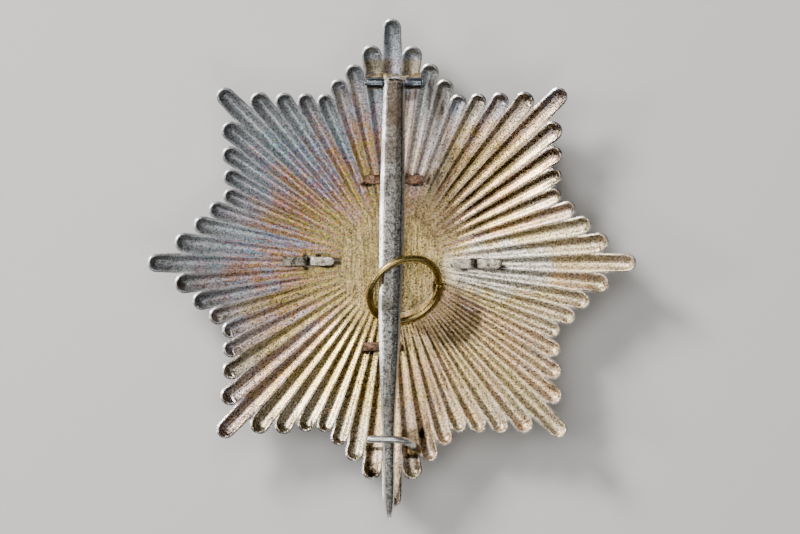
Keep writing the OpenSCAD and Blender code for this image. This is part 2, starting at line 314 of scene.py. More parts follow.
# %% Helpers for materials
class Paint:
    """A material with one metal shader, and short ways to add patterns to it"""

    def __init__(self, name):
        self.material = bpy.data.materials.new(name)
        self.material.use_nodes = True
        self.tree = self.material.node_tree
        self.shader = self.tree.nodes["Principled BSDF"]
        self.shader.inputs["Metallic"].default_value = 1.0
        self.place = self.tree.nodes.new("ShaderNodeTexCoord").outputs["Object"]
        apart = add_node(self.tree, "ShaderNodeSeparateXYZ", {"Vector": self.place})
        self.x, self.y, self.z = (Field(self.tree, socket) for socket in apart.outputs)

    def attribute(self, name):
        """A number that the mesh stores on its points"""
        node = add_node(self.tree, "ShaderNodeAttribute", attribute_name=name)
        return Field(self.tree, node.outputs["Fac"])

    def vector(self, x, y, z):
        node = add_node(self.tree, "ShaderNodeCombineXYZ", {"X": x, "Y": y, "Z": z})
        return node.outputs[0]

    def grain(self, size, detail=2.0, rough=0.5, warp=0.0, where=None):
        """Noise from 0 to 1 whose blots have this size in metres"""
        node = add_node(
            self.tree, "ShaderNodeTexNoise",
            {"Vector": where or self.place, "Scale": 1 / size, "Detail": detail,
             "Roughness": rough, "Distortion": warp},
        )
        return Field(self.tree, node.outputs["Fac"])

    def tints(self, size):
        """Noise whose red, green and blue each go their own way"""
        node = add_node(
            self.tree, "ShaderNodeTexNoise",
            {"Vector": self.place, "Scale": 1 / size, "Detail": 1.0, "Roughness": 0.6},
        )
        return node.outputs["Color"]

    def pits(self, size):
        """Distance to the nearest of many scattered dots, as a share of their spacing"""
        node = add_node(
            self.tree, "ShaderNodeTexVoronoi", {"Vector": self.place, "Scale": 1 / size}
        )
        return Field(self.tree, node.outputs["Distance"])

    def step(self, field, low, high):
        """A soft step from 0 at low to 1 at high"""
        node = add_node(
            self.tree, "ShaderNodeMapRange",
            {"Value": field, "From Min": low, "From Max": high}, interpolation_type="SMOOTHSTEP",
        )
        return Field(self.tree, node.outputs["Result"])

    def ramp(self, field, stops):
        """A colour for each value of the field, from a list of (value, colour)"""
        node = add_node(self.tree, "ShaderNodeValToRGB", {"Fac": field})
        node.color_ramp.interpolation = "EASE"
        elements = node.color_ramp.elements
        while len(elements) < len(stops):
            elements.new(0.5)
        for element, (value, colour) in zip(elements, stops):
            element.position = value
            element.color = (*colour, 1)
        return node.outputs["Color"]

    def mix(self, share, first, second, how="MIX"):
        """A colour between two others"""
        node = add_node(self.tree, "ShaderNodeMix", data_type="RGBA", blend_type=how)
        put(self.tree, node.inputs["Factor"], share)
        for socket, value in (("A_Color", first), ("B_Color", second)):
            value = (*value, 1) if isinstance(value, tuple) else value
            put(self.tree, socket_of(node.inputs, socket), value)
        return socket_of(node.outputs, "Result_Color")

    def scale(self, colour, field):
        """A colour made darker or lighter by a field"""
        grey = self.vector(field, field, field)
        return self.mix(1.0, colour, grey, "MULTIPLY")

    def relief(self, height, depth):
        """Bump of this depth in metres where the height goes from 0 to 1"""
        node = add_node(self.tree, "ShaderNodeBump", {"Height": height, "Distance": depth})
        node.inputs["Strength"].default_value = 1.0
        return node.outputs["Normal"]

    def spot(self, x, y, x_half, y_half, ragged):
        """1 inside an oval on the plan and 0 outside, with a ragged edge. Sizes in millimetres"""
        across = (self.x - x * MM) / (x_half * MM)
        along = (self.y - y * MM) / (y_half * MM)
        far = (across * across + along * along).do("SQRT")
        return 1.0 - self.step(far + (ragged - 0.5) * 1.6, 0.6, 1.2)

    def finish(self, colour, rough, normal):
        """Joins colour, roughness and relief to the shader, and gives the material"""
        put(self.tree, self.shader.inputs["Base Color"], colour)
        put(self.tree, self.shader.inputs["Roughness"], rough)
        put(self.tree, self.shader.inputs["Normal"], normal)
        return self.material


print("helpers ready")

# %% [markdown]
# ## The struck sheet
#
# The star is one stamped sheet. Its outline is two squares turned by an eighth, cut into
# sixty-four rays with round ends, and the sheet is hollow behind each ray. All of that follows a
# rule, so one Geometry Nodes tree makes it from a flat grid: across the grid we walk round the
# star, and up the grid we walk from the hub along a ray, over the rim and back along the front.

# %% Sizes of the struck sheet
sheet_low, sheet_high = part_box("star_body")
TIP_R = sheet_high.x
SHEET_T = 0.8 * MM
HUB_R = 8.8 * MM
HUB_Z = sheet_low.z + SHEET_T
DISH_H = sheet_high.z - HUB_Z
DISH_POWER = 1.2
RAYS = 64
RAYS_IN_POINT = 8
MAIN_EXTRA = 0.9 * MM
STEP = 2 * math.pi / RAYS
HALF_TAN = math.tan(STEP / 2)
print("tip radius", round(TIP_R / MM, 2), "mm, dish", round(DISH_H / MM, 2), "mm high")


def ridge_height(x, y):
    """Height of the ridges over a point of the plan"""
    out = max(0.0, math.hypot(x, y) - HUB_R) / (TIP_R - HUB_R)
    return HUB_Z + DISH_H * out**DISH_POWER


# %% Inputs of the sheet's tree, and chance for each ray
SHEET_INPUTS = {
    "Columns in a ray": "Int", "Rows along": "Int", "Rows in the end": "Int",
    "Tip radius": "Float", "Hub radius": "Float", "Hub height": "Float",
    "Dish height": "Float", "Sheet thickness": "Float", "Hollow share": "Float",
    "Lip width": "Float", "Main end share": "Float", "Seed": "Int", "Material": "Material",
}
print("the sheet's tree takes", len(SHEET_INPUTS), "inputs")


def chance(tree, limits, ray, seed):
    """A fixed random number between two limits for each ray"""
    whole = ray.do("FLOORED_MODULO", RAYS)
    node = add_node(
        tree, "FunctionNodeRandomValue",
        {"Min_001": limits[0], "Max_001": limits[1], "ID": whole, "Seed": seed},
        data_type="FLOAT",
    )
    return Field(tree, socket_of(node.outputs, "Value_001"))


# %% [markdown]
# ### From the grid to a ray
#
# Every point of the grid has to learn which ray it is on, how far across the ray it lies and how
# far along. The lower half of the grid's rows is the hollow back and the upper half the front,
# which walks home along the same places. A point's column and row are whole numbers worked out
# from its position, so the tree needs no list of points.


# %% Which ray and which row
def walk_grid(tree, given):
    """The grid, and for each point its ray, its place across it and its share of the walk"""
    columns = given["Columns in a ray"] * RAYS + 1.0
    rows = given["Rows along"] + given["Rows in the end"] + 3.0
    grid = add_node(
        tree, "GeometryNodeMeshGrid",
        {"Size X": 1.0, "Size Y": 1.0, "Vertices X": columns, "Vertices Y": rows * 2.0},
    )
    place = add_node(tree, "GeometryNodeInputPosition").outputs[0]
    apart = add_node(tree, "ShaderNodeSeparateXYZ", {"Vector": place})
    round_share = Field(tree, apart.outputs["X"]) + 0.5
    up_share = Field(tree, apart.outputs["Y"]) + 0.5

    # Across a ray, -1 and 1 are its two ridges
    turn = (round_share * (columns - 1.0)).do("ROUND") / given["Columns in a ray"]
    ray = (turn + 0.5).do("FLOOR")
    row = (up_share * (rows * 2.0 - 1.0)).do("ROUND")
    front = row.do("GREATER_THAN", rows - 0.5)
    row = row.at_most(rows * 2.0 - 1.0 - row)
    end_share = ((row - 2.0 - given["Rows along"]) / given["Rows in the end"]).clamp()
    return SimpleNamespace(
        grid=grid.outputs["Mesh"],
        ray=ray,
        across=(turn - ray) * 2.0,
        front=front,
        hub_share=(row / 2.0).clamp(),
        along_share=((row - 2.0) / given["Rows along"]).clamp(),
        reach=1.0 - (1.0 - end_share) ** 1.8,
    )


# %% Where the rays end and part
END_SHARE = 0.94
TIP_UNEVEN = (-0.22 * MM, 0.12 * MM)
NOTCH_UNEVEN = (-0.1 * MM, 0.3 * MM)


def ray_tip(tree, given, ray):
    """How far a ray reaches, and 1 if it is a main ray"""
    half = RAYS_IN_POINT / 2
    off = ((ray + half).do("FLOORED_MODULO", RAYS_IN_POINT) - half).do("ABSOLUTE")
    main = off.do("LESS_THAN", 0.5)
    square = (given["Tip radius"] - MAIN_EXTRA) * math.cos(math.pi / 4)
    side = square / sums(tree, "COSINE", math.pi / 4 - off * STEP)
    uneven = chance(tree, TIP_UNEVEN, ray, given["Seed"])
    return side + main * MAIN_EXTRA + uneven * (1.0 - main), main


def notch(tree, given, own, neighbour, ridge):
    """How far out the notch between a ray and its neighbour lies"""
    shorter = own.at_most(ray_tip(tree, given, neighbour)[0])
    uneven = chance(tree, NOTCH_UNEVEN, ridge, given["Seed"] + 7.0)
    return shorter * (1 - END_SHARE * HALF_TAN) + uneven


def place_in_ray(tree, given, walk):
    """Places in the ray's own directions, on the walk along it and then in its round end"""
    own, main = ray_tip(tree, given, walk.ray)
    ray_half = own * HALF_TAN
    end_r = ray_half * END_SHARE + ray_half * (given["Main end share"] - END_SHARE) * main
    centre = own - end_r
    left = notch(tree, given, own, walk.ray - 1.0, walk.ray)
    right = notch(tree, given, own, walk.ray + 1.0, walk.ray + 1.0)
    base = left.towards(right, (walk.across + 1.0) / 2.0)

    hub = given["Hub radius"]
    swing = walk.across * (math.pi / 2)
    lean = swing.do("SINE") * (STEP / 2)
    radius = hub * walk.hub_share + (base - hub) * walk.along_share
    start_along = radius * lean.do("COSINE")
    start_across = radius * lean.do("SINE")
    inside = walk.across.do("ABSOLUTE").do("LESS_THAN", 0.999)
    end_along = start_along.towards(centre + end_r * swing.do("COSINE"), inside)
    end_across = start_across.towards(end_r * swing.do("SINE"), inside)
    return SimpleNamespace(
        own=own,
        end_r=end_r,
        centre=centre,
        notch=left.towards(right, walk.across.do("GREATER_THAN", 0.0)),
        along=start_along.towards(end_along, walk.reach),
        across=start_across.towards(end_across, walk.reach),
    )


# %% [markdown]
# ### The hollow behind a ray
#
# The punch that struck the sheet left each ray hollow: softly curved between its ridges, and a
# steep round bowl in its free end. Both follow from one number, how far a point lies inside the
# outline or the ridge. At the rim the back and the front bend towards each other, because a
# stamped edge is never sharp, and a slow noise adds the shallow dents of an old thin sheet.

# %% The hollow, the dish and the rim
RIM_W = 0.4 * MM
RIM_BEND = 0.22 * MM
DEPTH_UNEVEN = (0.9, 1.12)
DENT_SIZE = 7.0 * MM
DENT_DEPTH = 0.22 * MM


def skin_height(tree, given, walk, spot):
    """Height of both skins, and how far inside the outline or the ridge a point lies"""
    to_end = spot.along - spot.notch
    free = (to_end / (spot.centre - spot.notch).at_least(0.3 * MM)).clamp()
    half = (spot.along * HALF_TAN).towards(spot.end_r, free)
    past = (spot.along - spot.centre).at_least(0.0)
    inward = half - (spot.across * spot.across + past * past).do("SQRT")
    near_end = ((to_end + 0.5 * MM) / (0.9 * MM)).clamp()
    lip = given["Lip width"] * near_end
    open_share = ((inward - lip) / (half - lip).at_least(0.05 * MM)).clamp()
    soft_bowl = 0.5 - (open_share * math.pi).do("COSINE") * 0.5
    steep_bowl = 1.0 - (1.0 - open_share) ** 2.1
    bowl = soft_bowl.towards(steep_bowl, free)

    hub = given["Hub radius"]
    far = (spot.along * spot.along + spot.across * spot.across).do("SQRT")
    out = (far - hub).at_least(0.0)
    fade = (out / hub).clamp()
    deep = chance(tree, DEPTH_UNEVEN, walk.ray, given["Seed"] + 3.0)
    depth = half * 2.0 * given["Hollow share"] * fade * deep
    rise = (out / (given["Tip radius"] - hub)) ** DISH_POWER * given["Dish height"]
    rim = (1.0 - inward / RIM_W).clamp() ** 1.25 * near_end * RIM_BEND
    height = given["Hub height"] + rise - depth * bowl - rim
    height = height - walk.front * (given["Sheet thickness"] - rim * 2.0)
    return SimpleNamespace(height=height, half=half, inward=inward, near_end=near_end, fade=fade)


def place_on_star(tree, walk, spot, skin):
    """Places on the star: each ray is turned to its own direction, and dented a little"""
    angle = walk.ray * STEP
    x = spot.along * angle.do("COSINE") - spot.across * angle.do("SINE")
    y = spot.along * angle.do("SINE") + spot.across * angle.do("COSINE")
    flat_place = add_node(tree, "ShaderNodeCombineXYZ", {"X": x, "Y": y, "Z": 0.0})
    dents = add_node(
        tree, "ShaderNodeTexNoise",
        {"Vector": flat_place.outputs[0], "Scale": 1 / DENT_SIZE, "Detail": 1.0},
    )
    dent = (Field(tree, dents.outputs["Fac"]) - 0.5) * DENT_DEPTH * skin.fade
    place = add_node(tree, "ShaderNodeCombineXYZ", {"X": x, "Y": y, "Z": skin.height + dent})
    return place.outputs[0]


# %% Slots for the prongs
PRONG_OUT = 14.6 * MM
SLOT_W = 1.8 * MM
SLOT_L = 2.0 * MM
SLOT_H = 5.0 * MM
# Above, left, right and below the middle
PRONG_PLACES = [
    (0.25 * MM, PRONG_OUT), (-PRONG_OUT, 0.3 * MM), (PRONG_OUT, -0.15 * MM), (0.1 * MM, -PRONG_OUT)
]
print("slots for prongs:", len(PRONG_PLACES))


def cut_slots(tree, geometry):
    """Cuts the four slots that the prongs come through"""
    join = tree.nodes.new("GeometryNodeJoinGeometry")
    for x, y in PRONG_PLACES:
        cube = add_node(tree, "GeometryNodeMeshCube", {"Size": (SLOT_W, SLOT_L, SLOT_H)})
        moved = add_node(
            tree, "GeometryNodeTransform",
            {"Geometry": cube.outputs["Mesh"], "Translation": (x, y, HUB_Z)},
        )
        tree.links.new(moved.outputs[0], join.inputs[0])
    cut = add_node(
        tree, "GeometryNodeMeshBoolean", {"Mesh 1": geometry},
        operation="DIFFERENCE", solver="MANIFOLD",
    )
    tree.links.new(join.outputs[0], cut.inputs["Mesh 2"])
    return cut.outputs["Mesh"]


# %% The whole tree
def build_sheet_tree():
    """The tree of the struck sheet, which also keeps four numbers for the material"""
    tree, given, result = new_tree("struck_sheet_tree", SHEET_INPUTS)
    walk = walk_grid(tree, given)
    spot = place_in_ray(tree, given, walk)
    skin = skin_height(tree, given, walk, spot)
    kept = {
        "ridge": 1.0 - (skin.inward / skin.half.at_least(0.01 * MM)).clamp(),
        "edge": (1.0 - skin.inward / (0.45 * MM)).clamp() * skin.near_end,
        "run": spot.along / spot.own,
        "tone": chance(tree, (0.0, 1.0), walk.ray, given["Seed"] + 5.0),
    }
    shape = walk.grid
    for name, value in kept.items():
        shape = add_node(
            tree, "GeometryNodeStoreNamedAttribute",
            {"Geometry": shape, "Name": name, "Value": value}, data_type="FLOAT", domain="POINT",
        ).outputs[0]
    place = place_on_star(tree, walk, spot, skin)
    moved = add_node(tree, "GeometryNodeSetPosition", {"Geometry": shape, "Position": place})
    turned = add_node(tree, "GeometryNodeFlipFaces", {"Mesh": moved.outputs[0]})
    joined = add_node(
        tree, "GeometryNodeMergeByDistance",
        {"Geometry": turned.outputs[0], "Distance": 0.002 * MM},
    )
    cut = cut_slots(tree, joined.outputs[0])
    edge_angle = add_node(tree, "GeometryNodeInputMeshEdgeAngle").outputs["Unsigned Angle"]
    soft = Field(tree, edge_angle).do("LESS_THAN", math.radians(50))
    shaded = add_node(
        tree, "GeometryNodeSetShadeSmooth",
        {"Geometry": cut, "Shade Smooth": soft}, domain="EDGE",
    )
    finish_tree(tree, result, shaded.outputs[0], given["Material"])
    return tree


sheet_tree = build_sheet_tree()
print("the sheet's tree has", len(sheet_tree.nodes), "nodes")


# %% [markdown]
# ## Toned silver
#
# Old silver wears a film that turns from yellow over orange, rose and blue to grey as it
# thickens. Nothing rubbed the upper left of this star, so its film is thick there. The lower
# right is painted paler, partly as rubbed against cloth and partly as painted light where the bowl
# faces the lamps. The hub was brushed up and down, heat and flux left brown spots round the
# fittings, and painted shadow, painted shade and painted highlights lie over the rays. One material
# holds all of it in layers. It reads the place on the star and the four numbers that the sheet's
# tree kept, so no picture has to be wrapped on.


# %% Places and patterns on the star
class StarPaint(Paint):
    """Paint for the struck sheet, with the places and patterns that its layers share"""

    def __init__(self, name):
        super().__init__(name)
        self.out = (self.x * self.x + self.y * self.y).do("SQRT")
        safe = self.out.at_least(1.0 * MM)
        self.cos_dir = self.x / safe
        self.sin_dir = self.y / safe
        self.ridge = self.attribute("ridge")
        self.edge = self.attribute("edge")
        self.run = self.attribute("run")
        self.tone = self.attribute("tone")

        # Streaks follow the rays, and the brush went up and down
        along_rays = self.vector(self.cos_dir * 0.16, self.sin_dir * 0.16, self.out * 0.6)
        up_and_down = self.vector(self.x, self.y * 0.12, self.z * 0.12)
        self.streaks = self.grain(3.2 * MM, 3.0, 0.6, 0.0, along_rays)
        self.brush = self.grain(0.36 * MM, 2.0, 0.65, 0.0, up_and_down)
        self.fine = self.grain(0.34 * MM, 2.0, 0.7)
        self.finer = self.grain(0.20 * MM, 1.0, 0.5)
        self.cloud = self.grain(9.0 * MM, 3.0, 0.6, 0.6)
        self.patch = self.grain(3.5 * MM, 3.0, 0.55)

        # Parts of the star that aged in ways of their own, and that get painted light and shade of
        # their own
        self.upper_left = self.side(-0.72, 0.70, -0.2, 1.0)
        self.lower_left = self.side(-0.56, -0.83, 0.6, 0.95)
        self.upper_right = self.side(0.7, 0.6, 0.66, 0.86, 0.3)
        # The lower right is painted paler: partly rubbed, partly painted light where the bowl faces
        # the lamps
        lower_right = self.side(0.75, -0.55, 0.2, 1.0, 0.9)
        self.rubbed_and_lit = lower_right * self.step(self.out, 9 * MM, 20 * MM)
        self.hub = 1.0 - self.step(self.out + (self.patch - 0.5) * (3 * MM), 7 * MM, 13 * MM)

    def side(self, x_part, y_part, low, high, ragged=0.0):
        """1 in the rays that point this way and 0 in the others, with a ragged border"""
        way = self.cos_dir * x_part + self.sin_dir * y_part + (self.cloud - 0.5) * ragged
        return self.step(way, low, high)

    def spotted(self, colour, spots, stain):
        """Spots of a colour, used for stains, painted shadow and painted highlight: rows of place,
        half sizes in mm and strength
        """
        for x, y, x_half, y_half, strength in spots:
            colour = self.mix(self.spot(x, y, x_half, y_half, self.patch) * strength, colour, stain)
        return colour


# %% The film of toning
# Thickness of the film and the colour that the silver has under it
FILM_COLOURS = [
    (0.00, (0.74, 0.55, 0.22)), (0.12, (0.84, 0.63, 0.27)), (0.22, (0.90, 0.58, 0.26)),
    (0.32, (0.90, 0.52, 0.33)), (0.43, (0.82, 0.58, 0.62)), (0.54, (0.62, 0.64, 0.82)),
    (0.66, (0.55, 0.77, 0.80)), (0.80, (0.76, 0.79, 0.80)), (0.94, (0.67, 0.70, 0.74)),
]
print("the film runs through", len(FILM_COLOURS), "colours")


def film_colour(paint):
    """The film's colours: none on the hub, thickest on the upper left, uneven from ray to ray"""
    film = (paint.out - HUB_R * 0.8) / (TIP_R - HUB_R) * (0.20 + paint.upper_left * 0.66)
    film = film + (paint.cloud - 0.5) * 0.6 + (paint.patch - 0.5) * 0.5
    film = film + (paint.streaks - 0.5) * 0.9 + (paint.tone - 0.5) * 0.42
    film = film + (paint.finer - 0.5) * 0.5
    toned = paint.ramp(film.clamp(), FILM_COLOURS)
    specks = paint.tints(0.42 * MM)
    return paint.mix(0.16 + paint.upper_left * 0.26, toned, specks, "LINEAR_LIGHT")


# %% Wear, stains, painted shadows and painted highlights
STEEL_GREY = (0.66, 0.68, 0.71)
PALE_GOLD_RUBBED_AND_LIT = (0.97, 0.80, 0.46)
ORANGE = (0.96, 0.60, 0.26)
# Cream for the painted highlight on pale rays that face the lamps
PAINTED_HIGHLIGHT_CREAM = (0.96, 0.93, 0.86)
BRUSH_DARK = (0.33, 0.23, 0.07)
BRUSH_LIGHT = (0.95, 0.73, 0.33)
FLUX = (0.70, 0.55, 0.31)
BROWN_STAIN_AND_SHADE = (0.20, 0.13, 0.07)
# Black for painted shadow
PAINTED_SHADOW_BLACK = (0.02, 0.015, 0.01)
# All spots: place, half sizes in mm, strength. Painted highlights on pale rays first, then flux by
# the hinge
PAINTED_HIGHLIGHT_SPOTS = [(19, -0.5, 11, 5, 0.75), (5.8, 21.5, 4.5, 10, 0.5)]
FLUX_SPOTS = [(-2.6, 34.3, 2.6, 1.2, 0.7), (3.4, 34.2, 2.4, 1.3, 0.7)]
# Brown stains by the soldered fittings and in a few rays, and painted brown shade: the large spots
# and the one beside the hinge
STAIN_AND_SHADOW_SPOTS = [
    (3.8, -31.2, 2.6, 2.4, 0.75), (5.6, -29.2, 0.9, 2.0, 0.6), (-3.5, -36.2, 1.2, 1.8, 0.75),
    (3.4, 29.2, 1.5, 1.0, 0.7), (8.1, 28.3, 1.2, 3.6, 0.55), (-37.0, -3.8, 1.2, 0.9, 0.6),
    (6.3, 14.8, 1.1, 1.2, 0.6), (-1.8, 34.6, 2.4, 0.9, 0.35), (16.0, 15.0, 9.0, 8.0, 0.5),
    (9.6, 5.6, 3.5, 4.0, 0.6), (9.5, -9.5, 6.5, 6.0, 0.85), (-19.0, -20.0, 9.0, 8.0, 0.35),
    (11.0, 10.5, 7.5, 6.0, 0.7), (-34.0, -3.0, 9.0, 7.0, 0.3),
]
# Painted black shadow beside the prongs' legs and the hook's foot
PAINTED_SHADOW_SPOTS = [
    (-9.7, 0.35, 1.2, 1.0, 0.9), (-11.2, -0.6, 1.4, 0.3, 0.9), (-15.1, 0.2, 0.7, 1.5, 0.9),
    (-4.2, 13.75, 1.5, 0.5, 0.9), (4.4, 13.7, 1.4, 0.4, 0.9), (19.6, -0.9, 1.1, 0.4, 0.9),
    (-4.0, -15.6, 1.5, 0.4, 0.9), (-12.9, 1.2, 0.6, 0.4, 0.9), (12.6, -1.1, 0.7, 0.4, 0.9),
    (3.6, -33.7, 1.6, 0.5, 0.9), (-3.4, -36.8, 0.7, 0.9, 0.9), (-1.6, -32.4, 2.6, 0.45, 0.9),
    (5.3, -29.6, 0.5, 0.9, 0.9), (7.6, -4.5, 0.5, 2.6, 0.9),
]
print("spots:", len(PAINTED_HIGHLIGHT_SPOTS + FLUX_SPOTS + STAIN_AND_SHADOW_SPOTS + PAINTED_SHADOW_SPOTS))


def weathered_colour(paint):
    """The film, greyed at the tips, paler on the lower right as rubbed and as painted light,
    with painted highlights, brushed on the hub, stained, and with painted shade and shadow
    """
    grey_out = paint.step(paint.run + (paint.patch - 0.5) * 0.3, 0.62, 0.95)
    colour = paint.mix(grey_out * (0.4 + paint.upper_left * 0.45), film_colour(paint), STEEL_GREY)
    # Paler gold on the lower right: rubbed, and painted light where the bowl faces the lamps
    colour = paint.mix(paint.rubbed_and_lit * 0.35, colour, PALE_GOLD_RUBBED_AND_LIT)
    orange = paint.step(paint.patch + (paint.tone - 0.5) * 0.4, 0.56, 0.70)
    orange = orange * paint.step(paint.out, 14 * MM, 20 * MM)
    colour = paint.mix(orange * (1.0 - paint.upper_left) * 0.5, colour, ORANGE)
    # Painted highlight: pale spots on the rays right of the hub and above it
    colour = paint.spotted(colour, PAINTED_HIGHLIGHT_SPOTS, PAINTED_HIGHLIGHT_CREAM)
    brushed = paint.mix(paint.step(paint.brush, 0.34, 0.66), BRUSH_DARK, BRUSH_LIGHT)
    colour = paint.mix(paint.hub * 0.75, colour, brushed)
    colour = paint.spotted(colour, FLUX_SPOTS, FLUX)
    # Brown stains, with painted shade in the large spots and painted shadow beside the hinge
    colour = paint.spotted(colour, STAIN_AND_SHADOW_SPOTS, BROWN_STAIN_AND_SHADE)
    # Painted shadow: black spots beside the prongs' legs and the hook's foot
    return paint.spotted(colour, PAINTED_SHADOW_SPOTS, PAINTED_SHADOW_BLACK)


# %% Specks, dirt and painted shade
def specks_dirt_and_painted_shade(paint):
    """Black specks, dark lines beside the ridges that are partly dirt and partly painted shade,
    and painted shade in the ray ends, over the upper left and on the hollows' bottoms
    """
    rubbed_and_lit = paint.rubbed_and_lit
    off_edge = 1.0 - paint.edge
    specks = paint.step(paint.fine, 0.36, 0.60)
    bright = 0.36 + specks * 0.62 + (paint.finer - 0.5) * (1.1 + rubbed_and_lit * 0.4)
    # Lighter on the lower right, partly painted light
    bright = bright + rubbed_and_lit * (0.08 - (1.0 - paint.step(paint.fine, 0.34, 0.56)) * 0.18)
    # Painted shade in the ray ends, most on the upper left
    painted_end_shade = paint.step(paint.run, 0.84, 0.97) * off_edge * (1.0 - rubbed_and_lit)
    bright = bright * (1.0 - painted_end_shade * (0.25 + paint.upper_left * 0.30))
    # Painted shade over the upper left, which faces away from the lamps
    bright = bright * (1.0 - paint.upper_left * 0.10)
    # Dark lines beside the ridges: partly dirt, partly painted shade
    ridge_dirt_and_shade = (paint.ridge ** 5.0) * (0.12 + paint.upper_left * 0.32 + paint.lower_left * 0.28)
    bright = bright * (1.0 - ridge_dirt_and_shade * off_edge)
    # Painted shade on the hollows' bottoms at the upper right and lower left
    painted_bottom_shade = 1.0 - paint.step(paint.ridge + (paint.fine - 0.5) * 0.3, 0.15, 0.60)
    painted_bottom_shade = painted_bottom_shade * paint.step(paint.out, 9 * MM, 14 * MM)
    return bright * (1.0 - painted_bottom_shade * (paint.upper_right * 0.36 + paint.lower_left * 0.12))


# %% All layers together
# Pale silver for wear and for painted highlights on rims, ridges and the pin's bevels
PALE_WEAR_AND_HIGHLIGHT = (0.86, 0.85, 0.83)


def toned_silver():
    """Old silver: its weathered colour, its specks, dirt and painted shade, and pale ridges
    and rims that are partly worn and partly a painted highlight
    """
    paint = StarPaint("toned_silver")
    colour = paint.scale(weathered_colour(paint), specks_dirt_and_painted_shade(paint))
    # Pale ridges and rims: partly wear, partly a painted highlight
    wear_and_rim_highlight = (paint.ridge ** 9.0) * paint.step(paint.patch, 0.4, 0.6) * 0.3 + paint.edge * 0.6
    colour = paint.mix(wear_and_rim_highlight.clamp(), colour, PALE_WEAR_AND_HIGHLIGHT)
    metal = 1.0 - paint.upper_left * 0.22 - paint.rubbed_and_lit * 0.10
    put(paint.tree, paint.shader.inputs["Metallic"], metal)
    rough = 0.27 + paint.upper_left * 0.15 + (paint.fine - 0.5) * 0.45
    rough = rough + paint.rubbed_and_lit * 0.16 - paint.edge * 0.06

    # The rays keep the grain of the die, the hub has the lines of the brush
    surface = (paint.fine * 0.7 + paint.finer * 0.6) * (1.0 - paint.hub * 0.75)
    surface = surface + paint.brush * paint.hub * 0.7 + paint.streaks * 0.3
    return paint.finish(colour, rough, paint.relief(surface, 0.045 * MM))


silver_finish = toned_silver()
print("finish:", silver_finish.name)

# %% Make the sheet
star_sheet = run_tree("star_sheet", sheet_tree, {
    "Columns in a ray": 20, "Rows along": 14, "Rows in the end": 10,
    "Tip radius": TIP_R, "Hub radius": HUB_R, "Hub height": HUB_Z,
    "Dish height": DISH_H, "Sheet thickness": SHEET_T, "Hollow share": 0.20,
    "Lip width": 0.40 * MM, "Main end share": 0.78, "Seed": 11, "Material": silver_finish,
})
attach(star_sheet, "star")
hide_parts("star_body")
print("star sheet:", count(star_sheet), "triangles")

# %% [markdown]
# ## Solids by lofting
#
# The fittings were filed, bent and soldered by hand. Each is a loft: a row of cross sections,
# joined face to face. A real edge is never quite sharp, so the corners of a section are rounded,
# and a little noise moves each section, as a file or pliers would.


# %% Lofts
def add_loft(shape, rings, closed=False):
    """Joins rings of points into a skin. An open row of rings gets a face on each end"""
    rows = [[shape.verts.new(point) for point in ring] for ring in rings]
    size = len(rows[0])
    following = rows[1:] + rows[:1] if closed else rows[1:]
    for first, second in zip(rows, following):
        for k in range(size):
            after = (k + 1) % size
            shape.faces.new((first[k], first[after], second[after], second[k]))
    if not closed:
        shape.faces.new(rows[0])
        shape.faces.new(rows[-1])


def made(name, shape, material, sharp_deg=40):
    """An object from a bmesh: faces outward, smooth but for its sharp edges"""
    bmesh.ops.recalc_face_normals(shape, faces=shape.faces)
    for face in shape.faces:
        face.smooth = True
    for edge in shape.edges:
        edge.smooth = edge.calc_face_angle(0) < math.radians(sharp_deg)
    mesh = bpy.data.meshes.new(name)
    shape.to_mesh(mesh)
    shape.free()
    mesh.materials.append(material)
    return link(name, mesh)


# %% Round corners and turned pieces
def round_corners(points, radius, steps=3, closed=True):
    """An outline with each corner turned into a small curve. An open one keeps its two ends"""
    result = []
    for k, corner in enumerate(points):
        if not closed and k in (0, len(points) - 1):
            result.append(corner)
            continue
        before = points[k - 1] - corner
        after = points[(k + 1) % len(points)] - corner
        start = corner + before.normalized() * min(radius, before.length * 0.45)
        end = corner + after.normalized() * min(radius, after.length * 0.45)
        for step in range(steps + 1):
            t = step / steps
            result.append(start * (1 - t) ** 2 + corner * (2 * t * (1 - t)) + end * t**2)
    return result


def lathe_rings(profile, middle, segments, axis="X"):
    """Rings for a closed profile of (along, radius) turned about an axis through the middle"""
    rings = []
    for k in range(segments):
        turn = 2 * math.pi * k / segments
        ring = []
        for along, radius in profile:
            if axis == "X":
                step = Vector((along, radius * math.cos(turn), radius * math.sin(turn)))
            else:
                step = Vector((radius * math.cos(turn), radius * math.sin(turn), along))
            ring.append(middle + step)
        rings.append(ring)
    return rings


def solid_rings(profile, middle, segments, axis="X", radius=0.12 * MM):
    """Circles for a solid turned from an open profile, which starts and ends on its flat ends"""
    rounded = round_corners([Vector(p) for p in profile], radius, 3, False)
    return [list(ring) for ring in zip(*lathe_rings(rounded, middle, segments, axis))]


# %% Unevenness, Booleans and the frame
SLIVER = 0.002 * MM


def wobble(point, size, amount):
    """A small fixed push that changes smoothly from place to place"""
    return noise.noise_vector(Vector(point) / size) * amount


def combine(thing, other, how):
    """Joins another solid to a thing, or cuts it away. Slivers and the other one are then gone"""
    modifier = thing.modifiers.new(how.lower(), "BOOLEAN")
    modifier.operation = how
    modifier.solver = "EXACT"
    modifier.object = other
    whole = settle(thing)
    bpy.data.objects.remove(other)
    shape = bmesh.new()
    shape.from_mesh(whole.data)
    bmesh.ops.remove_doubles(shape, verts=shape.verts, dist=SLIVER)
    bmesh.ops.dissolve_degenerate(shape, edges=shape.edges, dist=SLIVER)
    shape.to_mesh(whole.data)
    shape.free()
    return whole


